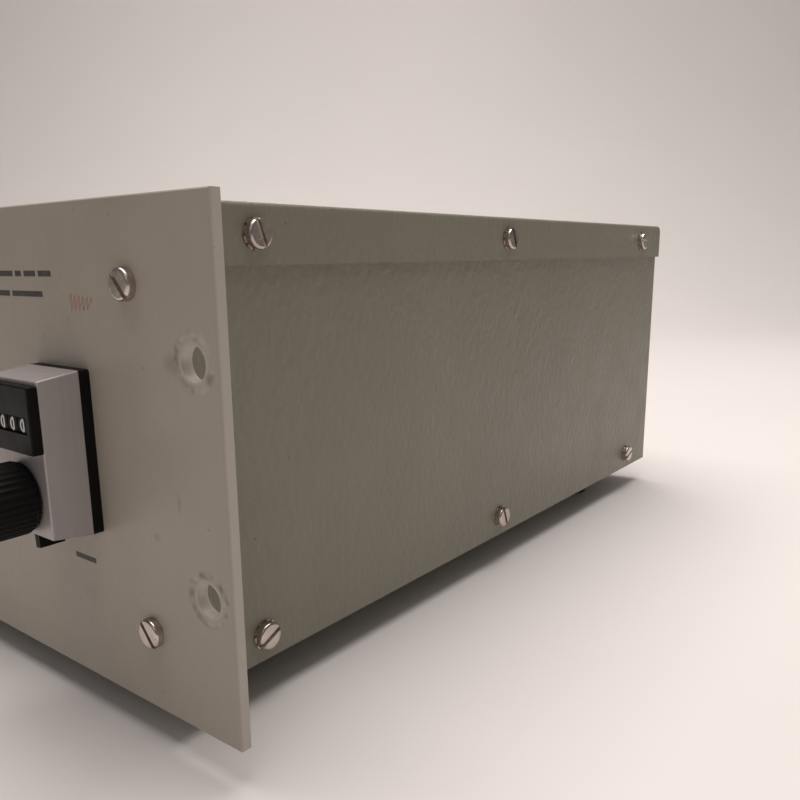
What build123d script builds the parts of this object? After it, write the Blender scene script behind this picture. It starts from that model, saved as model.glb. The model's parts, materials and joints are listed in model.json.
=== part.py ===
"""A rack-panel direct-current power supply for the bench or a 19-inch rack, three rack units high.

Frame: +X to the right of someone facing the front panel, +Y from the front panel to the rear,
+Z up. The origin is the centre of the footprint, on the surface the rubber feet stand on.
"""

import os
from math import cos, radians, sin

from build123d import *

os.makedirs("parts", exist_ok=True)

# ---- Driving dimensions, millimetres -------------------------------------------------------------
RACK_WIDTH = 482.6          # 19 in panel
PANEL_HEIGHT = 132.5        # three rack units
PANEL_THICK = 3.2
PANEL_FRONT = -156.3        # y of the panel's front face
FOOT_HEIGHT = 12.8
BOX_WIDTH = 431.8           # 17 in box behind the panel
BOX_REAR = 330.8            # depth of the box's rear face behind the panel's front face
SHEET = 1.6                 # sides, tray and rear panel
COVER_SHEET = 1.3
COVER_DEEP = 332.3
COVER_LIP = 16.1
RACK_HOLE_R = 4.35
RACK_HOLE_X = 232.57        # half of the 465.1 mm rack spacing
RACK_HOLE_PITCH = 57.15
SHAFT_R = 3.17              # quarter-inch shafts
SHAFT_FIT = 0.05            # radial clearance of a running shaft

PANEL_LOW = FOOT_HEIGHT - 2.8
PANEL_TOP = PANEL_LOW + PANEL_HEIGHT
BOX_LOW = FOOT_HEIGHT
COVER_TOP = 142.1
BOX_TOP = COVER_TOP - COVER_SHEET
SIDE_X = BOX_WIDTH / 2
RACK_HOLE_Z = PANEL_LOW + 37.675

# Fasteners: slotted number 8 machine screws
SCREW_R = 2.05
SCREW_HOLE_R = 2.3
HEAD_R = 4.1
HEAD_HIGH = 2.4
HEAD_ROUND = 0.9
SLOT_WIDE = 1.3
SLOT_DEEP = 1.2
WASHER_THICK = 0.5
NUT_FLATS = 8.7
NUT_THICK = 3.2

COVER_SCREW_DEPTHS = (34.6, 166.8, 304.0)
TRAY_SCREW_DEPTHS = (32.4, 166.7, 301.6)
COVER_SCREW_Z = 134.0
TRAY_SCREW_Z = 21.0
PANEL_SCREW_X = 209.2
PANEL_SCREW_ZS = (32.6, 122.2)
REAR_SCREW_X = 208.0
REAR_SCREW_ZS = (45.0, 112.0)
FOOT_X = 190.3
FOOT_DEPTHS = (34.0, 284.0)

# Controls on the front panel: (x, z)
DIAL_AT = (177.1, 67.5)     # axis of the ten-turn dial's knob
WHEEL_Z = 87.8
WHEEL_DEPTH = -9.6
WHEEL_R = 6.9
WHEEL_WIDE = 4.6
WHEEL_PITCH = 4.95
ROTARY_AT = {"left": (20.0, 74.0), "right": (98.0, 74.0)}
TOGGLE_AT = {"power": (-190.0, 54.0), "output": (-48.0, 54.0)}
LAMP_AT = ((-190.0, 98.0), (-48.0, 98.0))
METER_AT = (-118.0, 78.0)
METER_SIZE = (84.0, 76.0)
METER_BARREL_R = 34.5
POINTER_PIVOT_Z = 60.0

# Rear panel fittings: (x, z)
INLET_AT = (-165.0, 45.0)
FUSE_AT = (-110.0, 45.0)
CONNECTOR_AT = ((150.0, 80.0), (105.0, 80.0))
GROUND_AT = (60.0, 80.0)


def deep(depth):
    """The y of a place so many millimetres behind the panel's front face."""
    return PANEL_FRONT + depth


def block(x, y, z, mode=Mode.ADD):
    """A rectangular block between pairs of x, y and z."""
    with Locations(((x[0] + x[1]) / 2, (y[0] + y[1]) / 2, (z[0] + z[1]) / 2)):
        Box(x[1] - x[0], y[1] - y[0], z[1] - z[0], mode=mode)


def rod_y(x, z, y, radius, mode=Mode.ADD, front_radius=None):
    """A round bar along Y between a pair of y, tapered if its front radius differs."""
    with Locations(Location((x, (y[0] + y[1]) / 2, z), (90, 0, 0))):
        if front_radius is None:
            Cylinder(radius, y[1] - y[0], mode=mode)
        else:
            Cone(radius, front_radius, y[1] - y[0], mode=mode)


def rod_x(y, z, x, radius, mode=Mode.ADD):
    """A round bar along X between a pair of x."""
    with Locations(Location(((x[0] + x[1]) / 2, y, z), (0, 90, 0))):
        Cylinder(radius, x[1] - x[0], mode=mode)


def rod_z(x, y, z, radius, mode=Mode.ADD, top_radius=None):
    """A round bar along Z between a pair of z, tapered if its top radius differs."""
    with Locations((x, y, (z[0] + z[1]) / 2)):
        if top_radius is None:
            Cylinder(radius, z[1] - z[0], mode=mode)
        else:
            Cone(radius, top_radius, z[1] - z[0], mode=mode)


def hexagon_y(x, z, y, flats, mode=Mode.ADD):
    """A hexagonal prism along Y."""
    with BuildSketch(Plane.XZ.offset(-y[1])) as outline:
        with Locations((x, z)):
            RegularPolygon(flats / 2, 6, major_radius=False)
    extrude(outline.sketch, amount=y[1] - y[0], mode=mode)


def fluted(x, z, y, radius, flutes, flute_r):
    """A knob body along Y with round flutes cut along its length."""
    with BuildPart() as body:
        with BuildSketch(Plane.XZ.offset(-y[1])):
            with Locations((x, z)):
                Circle(radius)
                with PolarLocations(radius + 0.35 * flute_r, flutes):
                    Circle(flute_r, mode=Mode.SUBTRACT)
        extrude(amount=y[1] - y[0])
    return body.part


def finish(builder, node):
    """Name a finished sub-part and write it."""
    builder.part.label = node
    export_step(builder.part, f"parts/{node}.step")


def slotted_screw(length):
    """A pan-head screw: head above z 0, threaded shank below it."""
    with BuildPart() as one:
        Cylinder(HEAD_R, HEAD_HIGH, align=(Align.CENTER, Align.CENTER, Align.MIN))
        fillet(one.edges().sort_by(Axis.Z)[-1], HEAD_ROUND)
        with Locations((0, 0, HEAD_HIGH)):
            Box(3 * HEAD_R, SLOT_WIDE, 2 * SLOT_DEEP, mode=Mode.SUBTRACT)
        Cylinder(SCREW_R, length, align=(Align.CENTER, Align.CENTER, Align.MAX))
    return one.part


def hex_nut(flats=NUT_FLATS, bore_r=SCREW_R + 0.05, thick=NUT_THICK):
    """A hexagonal nut that stands on z 0 and reaches up."""
    with BuildPart() as one:
        with BuildSketch():
            RegularPolygon(flats / 2, 6, major_radius=False)
            Circle(bore_r, mode=Mode.SUBTRACT)
        extrude(amount=thick)
    return one.part


def toothed_washer(outer_r=4.4, bore_r=2.2, teeth=10):
    """An external-tooth lock washer on z 0."""
    with BuildPart() as one:
        with BuildSketch():
            Circle(outer_r)
            Circle(bore_r, mode=Mode.SUBTRACT)
            with PolarLocations(outer_r, teeth):
                Rectangle(1.3, 0.8, mode=Mode.SUBTRACT)
        extrude(amount=WASHER_THICK)
    return one.part


# ---- Where the case fasteners sit: local +Z points out of the case, the last turn sets the slot
def outward(side, x, depth, z, slot=0.0):
    """A place on a side of the case, its local +Z pointing out to the right or left."""
    return Location((side * x, deep(depth), z), (0, side * 90, 0)) * Location((0, 0, 0), (0, 0, slot))


COVER_FACE_X = SIDE_X + COVER_SHEET
COVER_SLOTS = {1: (20.0, 22.0, 82.0), -1: (35.0, 100.0, 160.0)}
TRAY_SLOTS = {1: (-65.0, 20.0, -68.0), -1: (75.0, 10.0, 130.0)}
cover_screw_places = [
    outward(side, COVER_FACE_X + WASHER_THICK, depth, COVER_SCREW_Z, slot)
    for side in (1, -1)
    for depth, slot in zip(COVER_SCREW_DEPTHS, COVER_SLOTS[side])
]
tray_screw_places = [
    outward(side, SIDE_X + WASHER_THICK, depth, TRAY_SCREW_Z, slot)
    for side in (1, -1)
    for depth, slot in zip(TRAY_SCREW_DEPTHS, TRAY_SLOTS[side])
]
rear_screw_places = [
    Location((side * REAR_SCREW_X, deep(BOX_REAR) + WASHER_THICK, z), (-90, 0, 25.0 * side))
    for side in (1, -1)
    for z in REAR_SCREW_ZS
]
panel_screw_places = [
    Location((side * PANEL_SCREW_X, deep(0), z), (90, 0, 0)) * Location((0, 0, 0), (0, 0, 130.0 + tilt))
    for side, tilt in ((1, 0.0), (-1, 60.0))
    for z in PANEL_SCREW_ZS
]

# ---- Case: front panel ---------------------------------------------------------------------------
with BuildPart() as front_panel:
    block((-RACK_WIDTH / 2, RACK_WIDTH / 2), (deep(0), deep(PANEL_THICK)), (PANEL_LOW, PANEL_TOP))
    chamfer(front_panel.faces().sort_by(Axis.Y)[0].edges(), 0.35)
    through = (deep(-1), deep(PANEL_THICK + 1))
    for rack_side in (-1, 1):
        for rack_z in (RACK_HOLE_Z, RACK_HOLE_Z + RACK_HOLE_PITCH):
            rod_y(rack_side * RACK_HOLE_X, rack_z, through, RACK_HOLE_R, Mode.SUBTRACT)
        for screw_z in PANEL_SCREW_ZS:
            rod_y(rack_side * PANEL_SCREW_X, screw_z, through, SCREW_HOLE_R, Mode.SUBTRACT)
    rod_y(*DIAL_AT, through, 4.95, Mode.SUBTRACT)
    for rotary_at in ROTARY_AT.values():
        rod_y(*rotary_at, through, 4.95, Mode.SUBTRACT)
    for toggle_at in TOGGLE_AT.values():
        rod_y(*toggle_at, through, 6.2, Mode.SUBTRACT)
    for lamp_at in LAMP_AT:
        rod_y(*lamp_at, through, 6.5, Mode.SUBTRACT)
    rod_y(*METER_AT, through, METER_BARREL_R + 0.5, Mode.SUBTRACT)
finish(front_panel, "front_panel")


# ---- Case: sheet-metal sides with inward front, rear and top flanges -----------------------------
FLANGE = 14.0


def side_panel(side):
    """One side of the box; side is 1 for the right and -1 for the left."""
    outer = side * SIDE_X
    inner = side * (SIDE_X - SHEET)
    edge = side * (SIDE_X - FLANGE)
    web = (min(outer, inner), max(outer, inner))
    flange = (min(inner, edge), max(inner, edge))
    with BuildPart() as panel:
        block(web, (deep(PANEL_THICK), deep(BOX_REAR)), (BOX_LOW, BOX_TOP))
        block(flange, (deep(PANEL_THICK), deep(PANEL_THICK + SHEET)), (BOX_LOW + 3, BOX_TOP - 3))
        block(flange, (deep(BOX_REAR - SHEET), deep(BOX_REAR)), (BOX_LOW + 0.5, BOX_TOP - 3))
        block(flange, (deep(8), deep(BOX_REAR - 8)), (BOX_TOP - SHEET, BOX_TOP))
        bend = panel.edges().filter_by(Axis.Z).filter_by_position(Axis.Y, deep(BOX_REAR), deep(BOX_REAR))
        fillet(bend.sort_by(Axis.X)[-1 if side > 0 else 0], 1.5)
        corner_x = (min(outer, edge) - 1, max(outer, edge) + 1)
        corner_y = (deep(BOX_REAR - 3.2), deep(BOX_REAR + 1))
        block(corner_x, corner_y, (BOX_TOP - 2.0, BOX_TOP + 1), Mode.SUBTRACT)
        screw_span = sorted((side * (SIDE_X - 5), side * (SIDE_X + 5)))
        for depth in COVER_SCREW_DEPTHS:
            rod_x(deep(depth), COVER_SCREW_Z, screw_span, SCREW_HOLE_R, Mode.SUBTRACT)
        for depth in TRAY_SCREW_DEPTHS:
            rod_x(deep(depth), TRAY_SCREW_Z, screw_span, SCREW_HOLE_R, Mode.SUBTRACT)
        for z in PANEL_SCREW_ZS:
            rod_y(side * PANEL_SCREW_X, z, (deep(0), deep(8)), SCREW_HOLE_R, Mode.SUBTRACT)
        for z in REAR_SCREW_ZS:
            rear_span = (deep(BOX_REAR - 5), deep(BOX_REAR + 5))
            rod_y(side * REAR_SCREW_X, z, rear_span, SCREW_HOLE_R, Mode.SUBTRACT)
    return panel


finish(side_panel(1), "side_panel_right")
finish(side_panel(-1), "side_panel_left")

# ---- Case: bottom tray with upturned flanges and vent slots --------------------------------------
TRAY_X = SIDE_X - SHEET - 0.15
TRAY_FRONT = deep(PANEL_THICK + SHEET + 0.2)
TRAY_REAR = deep(BOX_REAR - 2 * SHEET - 0.4)
TRAY_FLOOR = BOX_LOW + SHEET
TRAY_FLANGE_TOP = 30.0
with BuildPart() as bottom_tray:
    block((-TRAY_X, TRAY_X), (TRAY_FRONT, TRAY_REAR), (BOX_LOW, TRAY_FLANGE_TOP))
    block(
        (-TRAY_X + SHEET, TRAY_X - SHEET),
        (TRAY_FRONT + SHEET, TRAY_REAR - SHEET),
        (TRAY_FLOOR, TRAY_FLANGE_TOP + 1),
        Mode.SUBTRACT,
    )
    for corner_x in (-PANEL_SCREW_X, PANEL_SCREW_X):
        notch = (corner_x - 9, corner_x + 9)
        block(notch, (TRAY_FRONT - 1, TRAY_FRONT + 5), (TRAY_FLOOR + 3, TRAY_FLANGE_TOP + 1), Mode.SUBTRACT)
    for foot_depth in FOOT_DEPTHS:
        for foot_x in (-FOOT_X, FOOT_X):
            rod_z(foot_x, deep(foot_depth), (BOX_LOW - 1, TRAY_FLOOR + 1), SCREW_HOLE_R, Mode.SUBTRACT)
    for screw_depth in TRAY_SCREW_DEPTHS:
        rod_x(deep(screw_depth), TRAY_SCREW_Z, (-TRAY_X - 2, TRAY_X + 2), SCREW_HOLE_R, Mode.SUBTRACT)
    with Locations((0, deep(120), BOX_LOW + SHEET / 2)):
        with GridLocations(14, 60, 12, 2):
            Box(3.4, 46, 2 * SHEET, mode=Mode.SUBTRACT)
finish(bottom_tray, "bottom_tray")

# ---- Case: rear panel inside the side flanges ----------------------------------------------------
REAR_IN = deep(BOX_REAR - 2 * SHEET - 0.2)
REAR_OUT = deep(BOX_REAR - SHEET - 0.1)
INLET_CUT = (27.6, 20.4)
with BuildPart() as rear_panel:
    block((-TRAY_X, TRAY_X), (REAR_IN, REAR_OUT), (BOX_LOW + 0.4, BOX_TOP - 1.6))
    rear_cut = (REAR_IN - 1, REAR_OUT + 1)
    for rear_side in (-1, 1):
        for screw_z in REAR_SCREW_ZS:
            rod_y(rear_side * REAR_SCREW_X, screw_z, rear_cut, SCREW_HOLE_R, Mode.SUBTRACT)
    block(
        (INLET_AT[0] - INLET_CUT[0] / 2, INLET_AT[0] + INLET_CUT[0] / 2),
        rear_cut,
        (INLET_AT[1] - INLET_CUT[1] / 2, INLET_AT[1] + INLET_CUT[1] / 2),
        Mode.SUBTRACT,
    )
    rod_y(*FUSE_AT, rear_cut, 6.5, Mode.SUBTRACT)
    for connector_at in CONNECTOR_AT:
        rod_y(*connector_at, rear_cut, 6.2, Mode.SUBTRACT)
    rod_y(*GROUND_AT, rear_cut, 3.3, Mode.SUBTRACT)
    with Locations((-60, (REAR_IN + REAR_OUT) / 2, 104)):
        with GridLocations(12, 1, 14, 1):
            Box(3.4, 2 * SHEET, 38, mode=Mode.SUBTRACT)
finish(rear_panel, "rear_panel")

# ---- Case: top cover, a folded sheet with lips over the sides and the rear -----------------------
COVER_BEND_REAR = 3.6
COVER_BEND_SIDE = 1.2
COVER_FRONT = deep(PANEL_THICK + 0.15)
with BuildPart() as top_cover:
    cover_y = (COVER_FRONT, deep(COVER_DEEP))
    block((-COVER_FACE_X, COVER_FACE_X), cover_y, (COVER_TOP - COVER_LIP, COVER_TOP))
    crown = top_cover.faces().sort_by(Axis.Z)[-1]
    fillet(crown.edges().sort_by(Axis.Y)[-1], COVER_BEND_REAR)
    crown = top_cover.faces().sort_by(Axis.Z)[-1]
    fillet(crown.edges().filter_by(Axis.Y), COVER_BEND_SIDE)
    with BuildPart(mode=Mode.PRIVATE) as cover_inside:
        block(
            (-SIDE_X - 0.02, SIDE_X + 0.02),
            (COVER_FRONT - 5, deep(COVER_DEEP - COVER_SHEET)),
            (COVER_TOP - COVER_LIP - 5, BOX_TOP + 0.02),
        )
        ceiling = cover_inside.faces().sort_by(Axis.Z)[-1]
        fillet(ceiling.edges().sort_by(Axis.Y)[-1], COVER_BEND_REAR - COVER_SHEET)
    add(cover_inside.part, mode=Mode.SUBTRACT)
    for screw_depth in COVER_SCREW_DEPTHS:
        cover_span = (-COVER_FACE_X - 5, COVER_FACE_X + 5)
        rod_x(deep(screw_depth), COVER_SCREW_Z, cover_span, SCREW_HOLE_R, Mode.SUBTRACT)
finish(top_cover, "top_cover")

# ---- Feet ----------------------------------------------------------------------------------------
FOOT_RECESS = 7.0
with BuildPart() as rubber_feet:
    for foot_depth in FOOT_DEPTHS:
        for foot_x in (-FOOT_X, FOOT_X):
            rod_z(foot_x, deep(foot_depth), (0, FOOT_HEIGHT), 10.4, top_radius=11.6)
            rod_z(foot_x, deep(foot_depth), (-1, FOOT_RECESS), 5.2, Mode.SUBTRACT)
            rod_z(foot_x, deep(foot_depth), (FOOT_RECESS, FOOT_HEIGHT + 1), SCREW_HOLE_R, Mode.SUBTRACT)
    fillet(rubber_feet.edges().filter_by(GeomType.CIRCLE).filter_by_position(Axis.Z, 0, 0), 0.8)
finish(rubber_feet, "rubber_feet")

# ---- Fasteners -----------------------------------------------------------------------------------
foot_places = [(x, deep(depth)) for depth in FOOT_DEPTHS for x in (-FOOT_X, FOOT_X)]
with BuildPart() as foot_screws:
    with Locations(*[Location((x, y, FOOT_RECESS), (180, 0, 0)) for x, y in foot_places]):
        add(slotted_screw(11.5))
finish(foot_screws, "foot_screws")

with BuildPart() as panel_screws:
    with Locations(*panel_screw_places):
        add(slotted_screw(9.0))
finish(panel_screws, "panel_screws")

with BuildPart() as case_screws:
    with Locations(*cover_screw_places, *tray_screw_places, *rear_screw_places):
        add(slotted_screw(8.0))
finish(case_screws, "case_screws")

under_heads = Location((0, 0, -WASHER_THICK))
with BuildPart() as lock_washers:
    screwed = cover_screw_places + tray_screw_places + rear_screw_places
    with Locations(*[place * under_heads for place in screwed]):
        add(toothed_washer())
finish(lock_washers, "lock_washers")

nut_places = [
    outward(side, SIDE_X - SHEET - NUT_THICK, depth, COVER_SCREW_Z)
    for side in (1, -1)
    for depth in COVER_SCREW_DEPTHS
]
nut_places += [
    outward(side, TRAY_X - SHEET - NUT_THICK, depth, TRAY_SCREW_Z)
    for side in (1, -1)
    for depth in TRAY_SCREW_DEPTHS
]
flat_outward = Location((0, 0, 0), (0, 0, 30))
nut_places += [
    Location((side * PANEL_SCREW_X, deep(PANEL_THICK + SHEET), z), (-90, 0, 0)) * flat_outward
    for side in (1, -1)
    for z in PANEL_SCREW_ZS
]
nut_places += [
    Location((side * REAR_SCREW_X, REAR_IN, z), (90, 0, 0))
    for side in (1, -1)
    for z in REAR_SCREW_ZS
]
nut_places += [Location((x, y, TRAY_FLOOR)) for x, y in foot_places]
with BuildPart() as frame_nuts:
    with Locations(*nut_places):
        add(hex_nut())
finish(frame_nuts, "frame_nuts")

# ---- Ten-turn dial: base, housing, bezel, digit wheels, knob, brake and potentiometer ------------
DIAL_X, DIAL_Z = DIAL_AT
BASE_HALF = 12.7
BASE_Z = (56.0, 100.4)
BASE_FRONT = -3.1
HOUSING_FRONT = -14.2
HOUSING_INSET_X = 0.7
HOUSING_FRONT_Z = (57.4, 98.8)
HOUSING_WALL = 1.2
BEZEL_HALF = 12.2
BEZEL_Z = (80.3, 97.8)
BEZEL_FRONT = -17.0
WINDOW_HALF = 10.3
WINDOW_HALF_TALL = 2.2
WINDOW_LIP = 0.55
BUSHING_R = 4.7
BRAKE_ANGLE = 4.0           # the lever's lean at rest, to the right of straight down
BRAKE_FRONT = -12.7
BRAKE_RING_R = 6.5
BRAKE_SLOT_X = (-5.1, 6.9)  # cut in the housing's underside for the lever's swing
FIN_REACH = (8.5, 14.7)
FIN_DEEP = 7.2
FIN_WIDE = 2.2

with BuildPart() as dial_base:
    block((DIAL_X - BASE_HALF, DIAL_X + BASE_HALF), (deep(BASE_FRONT), deep(0)), BASE_Z)
    fillet(dial_base.edges().filter_by(Axis.Y), 1.0)
    block(
        (DIAL_X - WINDOW_HALF, DIAL_X + WINDOW_HALF),
        (deep(BASE_FRONT - 1), deep(-0.8)),
        (WHEEL_Z - 8, WHEEL_Z + 8),
        Mode.SUBTRACT,
    )
    rod_y(DIAL_X, DIAL_Z, (deep(BASE_FRONT - 1), deep(1)), 7.2, Mode.SUBTRACT)
finish(dial_base, "dial_base")


def drafted(half_x, z_range, front_half_x, front_z_range, back, front):
    """A block along Y whose back and front rectangles differ, so its sides draw in."""
    with BuildPart() as shape:
        with BuildSketch(Plane.XZ.offset(-back)):
            with Locations((DIAL_X, sum(z_range) / 2)):
                Rectangle(2 * half_x, z_range[1] - z_range[0])
        with BuildSketch(Plane.XZ.offset(-front)):
            with Locations((DIAL_X, sum(front_z_range) / 2)):
                Rectangle(2 * front_half_x, front_z_range[1] - front_z_range[0])
        loft()
    return shape.part


housing_outer = drafted(
    BASE_HALF, BASE_Z, BASE_HALF - HOUSING_INSET_X, HOUSING_FRONT_Z, deep(BASE_FRONT), deep(HOUSING_FRONT)
)
wall = HOUSING_WALL
housing_cavity = drafted(
    BASE_HALF - wall,
    (BASE_Z[0] + wall, BASE_Z[1] - wall),
    BASE_HALF - HOUSING_INSET_X - wall,
    (HOUSING_FRONT_Z[0] + wall, HOUSING_FRONT_Z[1] - wall),
    deep(BASE_FRONT),
    deep(HOUSING_FRONT + wall),
)
with BuildPart() as dial_housing:
    add(housing_outer)
    fillet(dial_housing.edges().filter_by(lambda edge: abs(edge.tangent_at(0).Y) > 0.9), 0.6)
    fillet(dial_housing.faces().sort_by(Axis.Y)[0].edges(), 0.5)
    add(housing_cavity, mode=Mode.SUBTRACT)
    block(
        (DIAL_X - WINDOW_HALF + 0.2, DIAL_X + WINDOW_HALF - 0.2),
        (deep(HOUSING_FRONT - 1), deep(HOUSING_FRONT + wall + 1)),
        (WHEEL_Z - 6.5, WHEEL_Z + 6.5),
        Mode.SUBTRACT,
    )
    shaft_hole = (deep(HOUSING_FRONT - 1), deep(HOUSING_FRONT + wall + 1))
    rod_y(DIAL_X, DIAL_Z, shaft_hole, SHAFT_R + 0.4, Mode.SUBTRACT)
    block(
        (DIAL_X + BRAKE_SLOT_X[0], DIAL_X + BRAKE_SLOT_X[1]),
        (deep(BRAKE_FRONT - 0.3), deep(BRAKE_FRONT + FIN_DEEP + 0.4)),
        (BASE_Z[0] - 1, BASE_Z[0] + 4),
        Mode.SUBTRACT,
    )
finish(dial_housing, "dial_housing")

with BuildPart() as dial_bezel:
    block((DIAL_X - BEZEL_HALF, DIAL_X + BEZEL_HALF), (deep(BEZEL_FRONT), deep(HOUSING_FRONT)), BEZEL_Z)
    fillet(dial_bezel.edges().filter_by(Axis.Y), 0.8)
    fillet(dial_bezel.faces().sort_by(Axis.Y)[0].edges(), 0.5)
    block(
        (DIAL_X - WINDOW_HALF, DIAL_X + WINDOW_HALF),
        (deep(BEZEL_FRONT + WINDOW_LIP), deep(HOUSING_FRONT + 1)),
        (WHEEL_Z - 5.5, WHEEL_Z + 5.5),
        Mode.SUBTRACT,
    )
    block(
        (DIAL_X - WINDOW_HALF, DIAL_X + WINDOW_HALF),
        (deep(BEZEL_FRONT - 1), deep(HOUSING_FRONT)),
        (WHEEL_Z - WINDOW_HALF_TALL, WHEEL_Z + WINDOW_HALF_TALL),
        Mode.SUBTRACT,
    )
finish(dial_bezel, "dial_bezel")

AXLE_R = 1.2
with BuildPart() as dial_axle:
    axle_span = (DIAL_X - BASE_HALF + 2.1, DIAL_X + BASE_HALF - 2.1)
    rod_x(deep(WHEEL_DEPTH), WHEEL_Z, axle_span, AXLE_R)
finish(dial_axle, "dial_axle")

# Digit wheels, from the fastest on the right to the slowest on the left
for order in range(4):
    with BuildPart() as dial_wheel:
        wheel_x = DIAL_X + (1.5 - order) * WHEEL_PITCH
        wheel_span = (wheel_x - WHEEL_WIDE / 2, wheel_x + WHEEL_WIDE / 2)
        rod_x(deep(WHEEL_DEPTH), WHEEL_Z, wheel_span, WHEEL_R)
        chamfer(dial_wheel.edges().filter_by(GeomType.CIRCLE), 0.25)
        bore_span = (wheel_span[0] - 1, wheel_span[1] + 1)
        rod_x(deep(WHEEL_DEPTH), WHEEL_Z, bore_span, AXLE_R + SHAFT_FIT, Mode.SUBTRACT)
    finish(dial_wheel, f"dial_wheel_{order + 1}")

KNOB_BACK = -14.6
KNOB_R = 9.9
KNOB_FRONT = -33.0
with BuildPart() as dial_knob:
    add(fluted(DIAL_X, DIAL_Z, (deep(KNOB_FRONT), deep(KNOB_BACK - 1)), KNOB_R, 24, 0.75))
    rod_y(DIAL_X, DIAL_Z, (deep(KNOB_BACK - 1), deep(KNOB_BACK)), KNOB_R - 0.1)
    rod_y(DIAL_X, DIAL_Z, (deep(KNOB_FRONT + 3), deep(KNOB_BACK + 1)), SHAFT_R, Mode.SUBTRACT)
finish(dial_knob, "dial_knob")

POT_FRONT = PANEL_THICK + 0.8
POT_REAR = 46.0
POT_R = 11.1
with BuildPart() as dial_shaft:
    rod_y(DIAL_X, DIAL_Z, (deep(KNOB_FRONT + 3), deep(POT_REAR - 3)), SHAFT_R)
finish(dial_shaft, "dial_shaft")

with BuildPart() as dial_brake:
    ring_y = (deep(BRAKE_FRONT + 0.1), deep(BRAKE_FRONT + 1.1))
    rod_y(DIAL_X, DIAL_Z, ring_y, BRAKE_RING_R)
    swing = Location((DIAL_X, deep(0), DIAL_Z), (0, -BRAKE_ANGLE, 0))
    arm_depth = BRAKE_FRONT + 0.6
    with Locations(swing * Location((0, arm_depth, -FIN_REACH[1] / 2))):
        Box(FIN_WIDE, ring_y[1] - ring_y[0], FIN_REACH[1])
    with Locations(swing * Location((0, BRAKE_FRONT + FIN_DEEP / 2, -sum(FIN_REACH) / 2))):
        Box(FIN_WIDE, FIN_DEEP, FIN_REACH[1] - FIN_REACH[0])
    rod_y(DIAL_X, DIAL_Z, (ring_y[0] - 1, ring_y[1] + 1), SHAFT_R + SHAFT_FIT, Mode.SUBTRACT)
finish(dial_brake, "dial_brake")

with BuildPart() as ten_turn_potentiometer:
    rod_y(DIAL_X, DIAL_Z, (deep(POT_FRONT), deep(POT_REAR)), POT_R)
    fillet(ten_turn_potentiometer.faces().sort_by(Axis.Y)[-1].edges(), 1.0)
    rod_y(DIAL_X, DIAL_Z, (deep(BASE_FRONT), deep(POT_FRONT)), BUSHING_R)
    rod_y(DIAL_X, DIAL_Z, (deep(PANEL_THICK), deep(POT_FRONT)), 8.0)
    rod_y(DIAL_X, DIAL_Z, (deep(BASE_FRONT - 1), deep(POT_REAR - 2)), SHAFT_R + SHAFT_FIT, Mode.SUBTRACT)
    for tag_depth in (15.0, 27.0, 39.0):
        tag_y = (deep(tag_depth), deep(tag_depth + 0.6))
        block((DIAL_X - 1.5, DIAL_X + 1.5), tag_y, (DIAL_Z - 18, DIAL_Z - 10.5))
finish(ten_turn_potentiometer, "ten_turn_potentiometer")

# ---- Rotary voltage switches: skirted knob, shaft with rotors, switch with two wafers ------------
SKIRT_R = 15.5
GRIP_R = 10.5
ROTARY_KNOB_BACK = -0.9
SKIRT_FRONT = -6.0
GRIP_FRONT = -22.0
WAFER_DEPTHS = (24.0, 40.0)
WAFER_THICK = 1.8
WAFER_R = 19.0
ROTOR_R = 7.0
for side_name, (rotary_x, rotary_z) in ROTARY_AT.items():
    with BuildPart() as voltage_knob:
        skirt_y = (deep(SKIRT_FRONT), deep(ROTARY_KNOB_BACK))
        rod_y(rotary_x, rotary_z, skirt_y, SKIRT_R, front_radius=SKIRT_R - 2.2)
        add(fluted(rotary_x, rotary_z, (deep(GRIP_FRONT), deep(SKIRT_FRONT)), GRIP_R, 20, 0.9))
        rod_y(rotary_x, rotary_z, (deep(-4.0), deep(0)), 8.2, Mode.SUBTRACT)
        rod_y(rotary_x, rotary_z, (deep(GRIP_FRONT + 3), deep(0)), SHAFT_R, Mode.SUBTRACT)
    finish(voltage_knob, f"voltage_knob_{side_name}")

    with BuildPart() as switch_shaft:
        rod_y(rotary_x, rotary_z, (deep(GRIP_FRONT + 3), deep(46)), SHAFT_R)
        for wafer_depth in WAFER_DEPTHS:
            rod_y(rotary_x, rotary_z, (deep(wafer_depth), deep(wafer_depth + WAFER_THICK)), ROTOR_R)
    finish(switch_shaft, f"switch_shaft_{side_name}")

    with BuildPart() as rotary_switch:
        rod_y(rotary_x, rotary_z, (deep(-3.4), deep(PANEL_THICK + 0.5)), BUSHING_R)
        hexagon_y(rotary_x, rotary_z, (deep(-2.4), deep(0)), 13.0)
        rod_y(rotary_x, rotary_z, (deep(PANEL_THICK), deep(12)), 16.0)
        for wafer_depth in WAFER_DEPTHS:
            rod_y(rotary_x, rotary_z, (deep(wafer_depth), deep(wafer_depth + WAFER_THICK)), WAFER_R)
            for contact in range(10):
                turn = radians(36 * contact)
                tag_x = rotary_x + WAFER_R * cos(turn)
                tag_z = rotary_z + WAFER_R * sin(turn)
                rod_y(tag_x, tag_z, (deep(wafer_depth), deep(wafer_depth + WAFER_THICK)), 1.8)
            rotor_cut = (deep(wafer_depth - 1), deep(wafer_depth + WAFER_THICK + 1))
            rod_y(rotary_x, rotary_z, rotor_cut, ROTOR_R + 0.3, Mode.SUBTRACT)
        for rail in (-13.0, 13.0):
            rod_y(rotary_x + rail, rotary_z, (deep(10), deep(44)), 2.2)
        rod_y(rotary_x, rotary_z, (deep(-4), deep(13)), SHAFT_R + SHAFT_FIT, Mode.SUBTRACT)
    finish(rotary_switch, f"rotary_switch_{side_name}")

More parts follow.
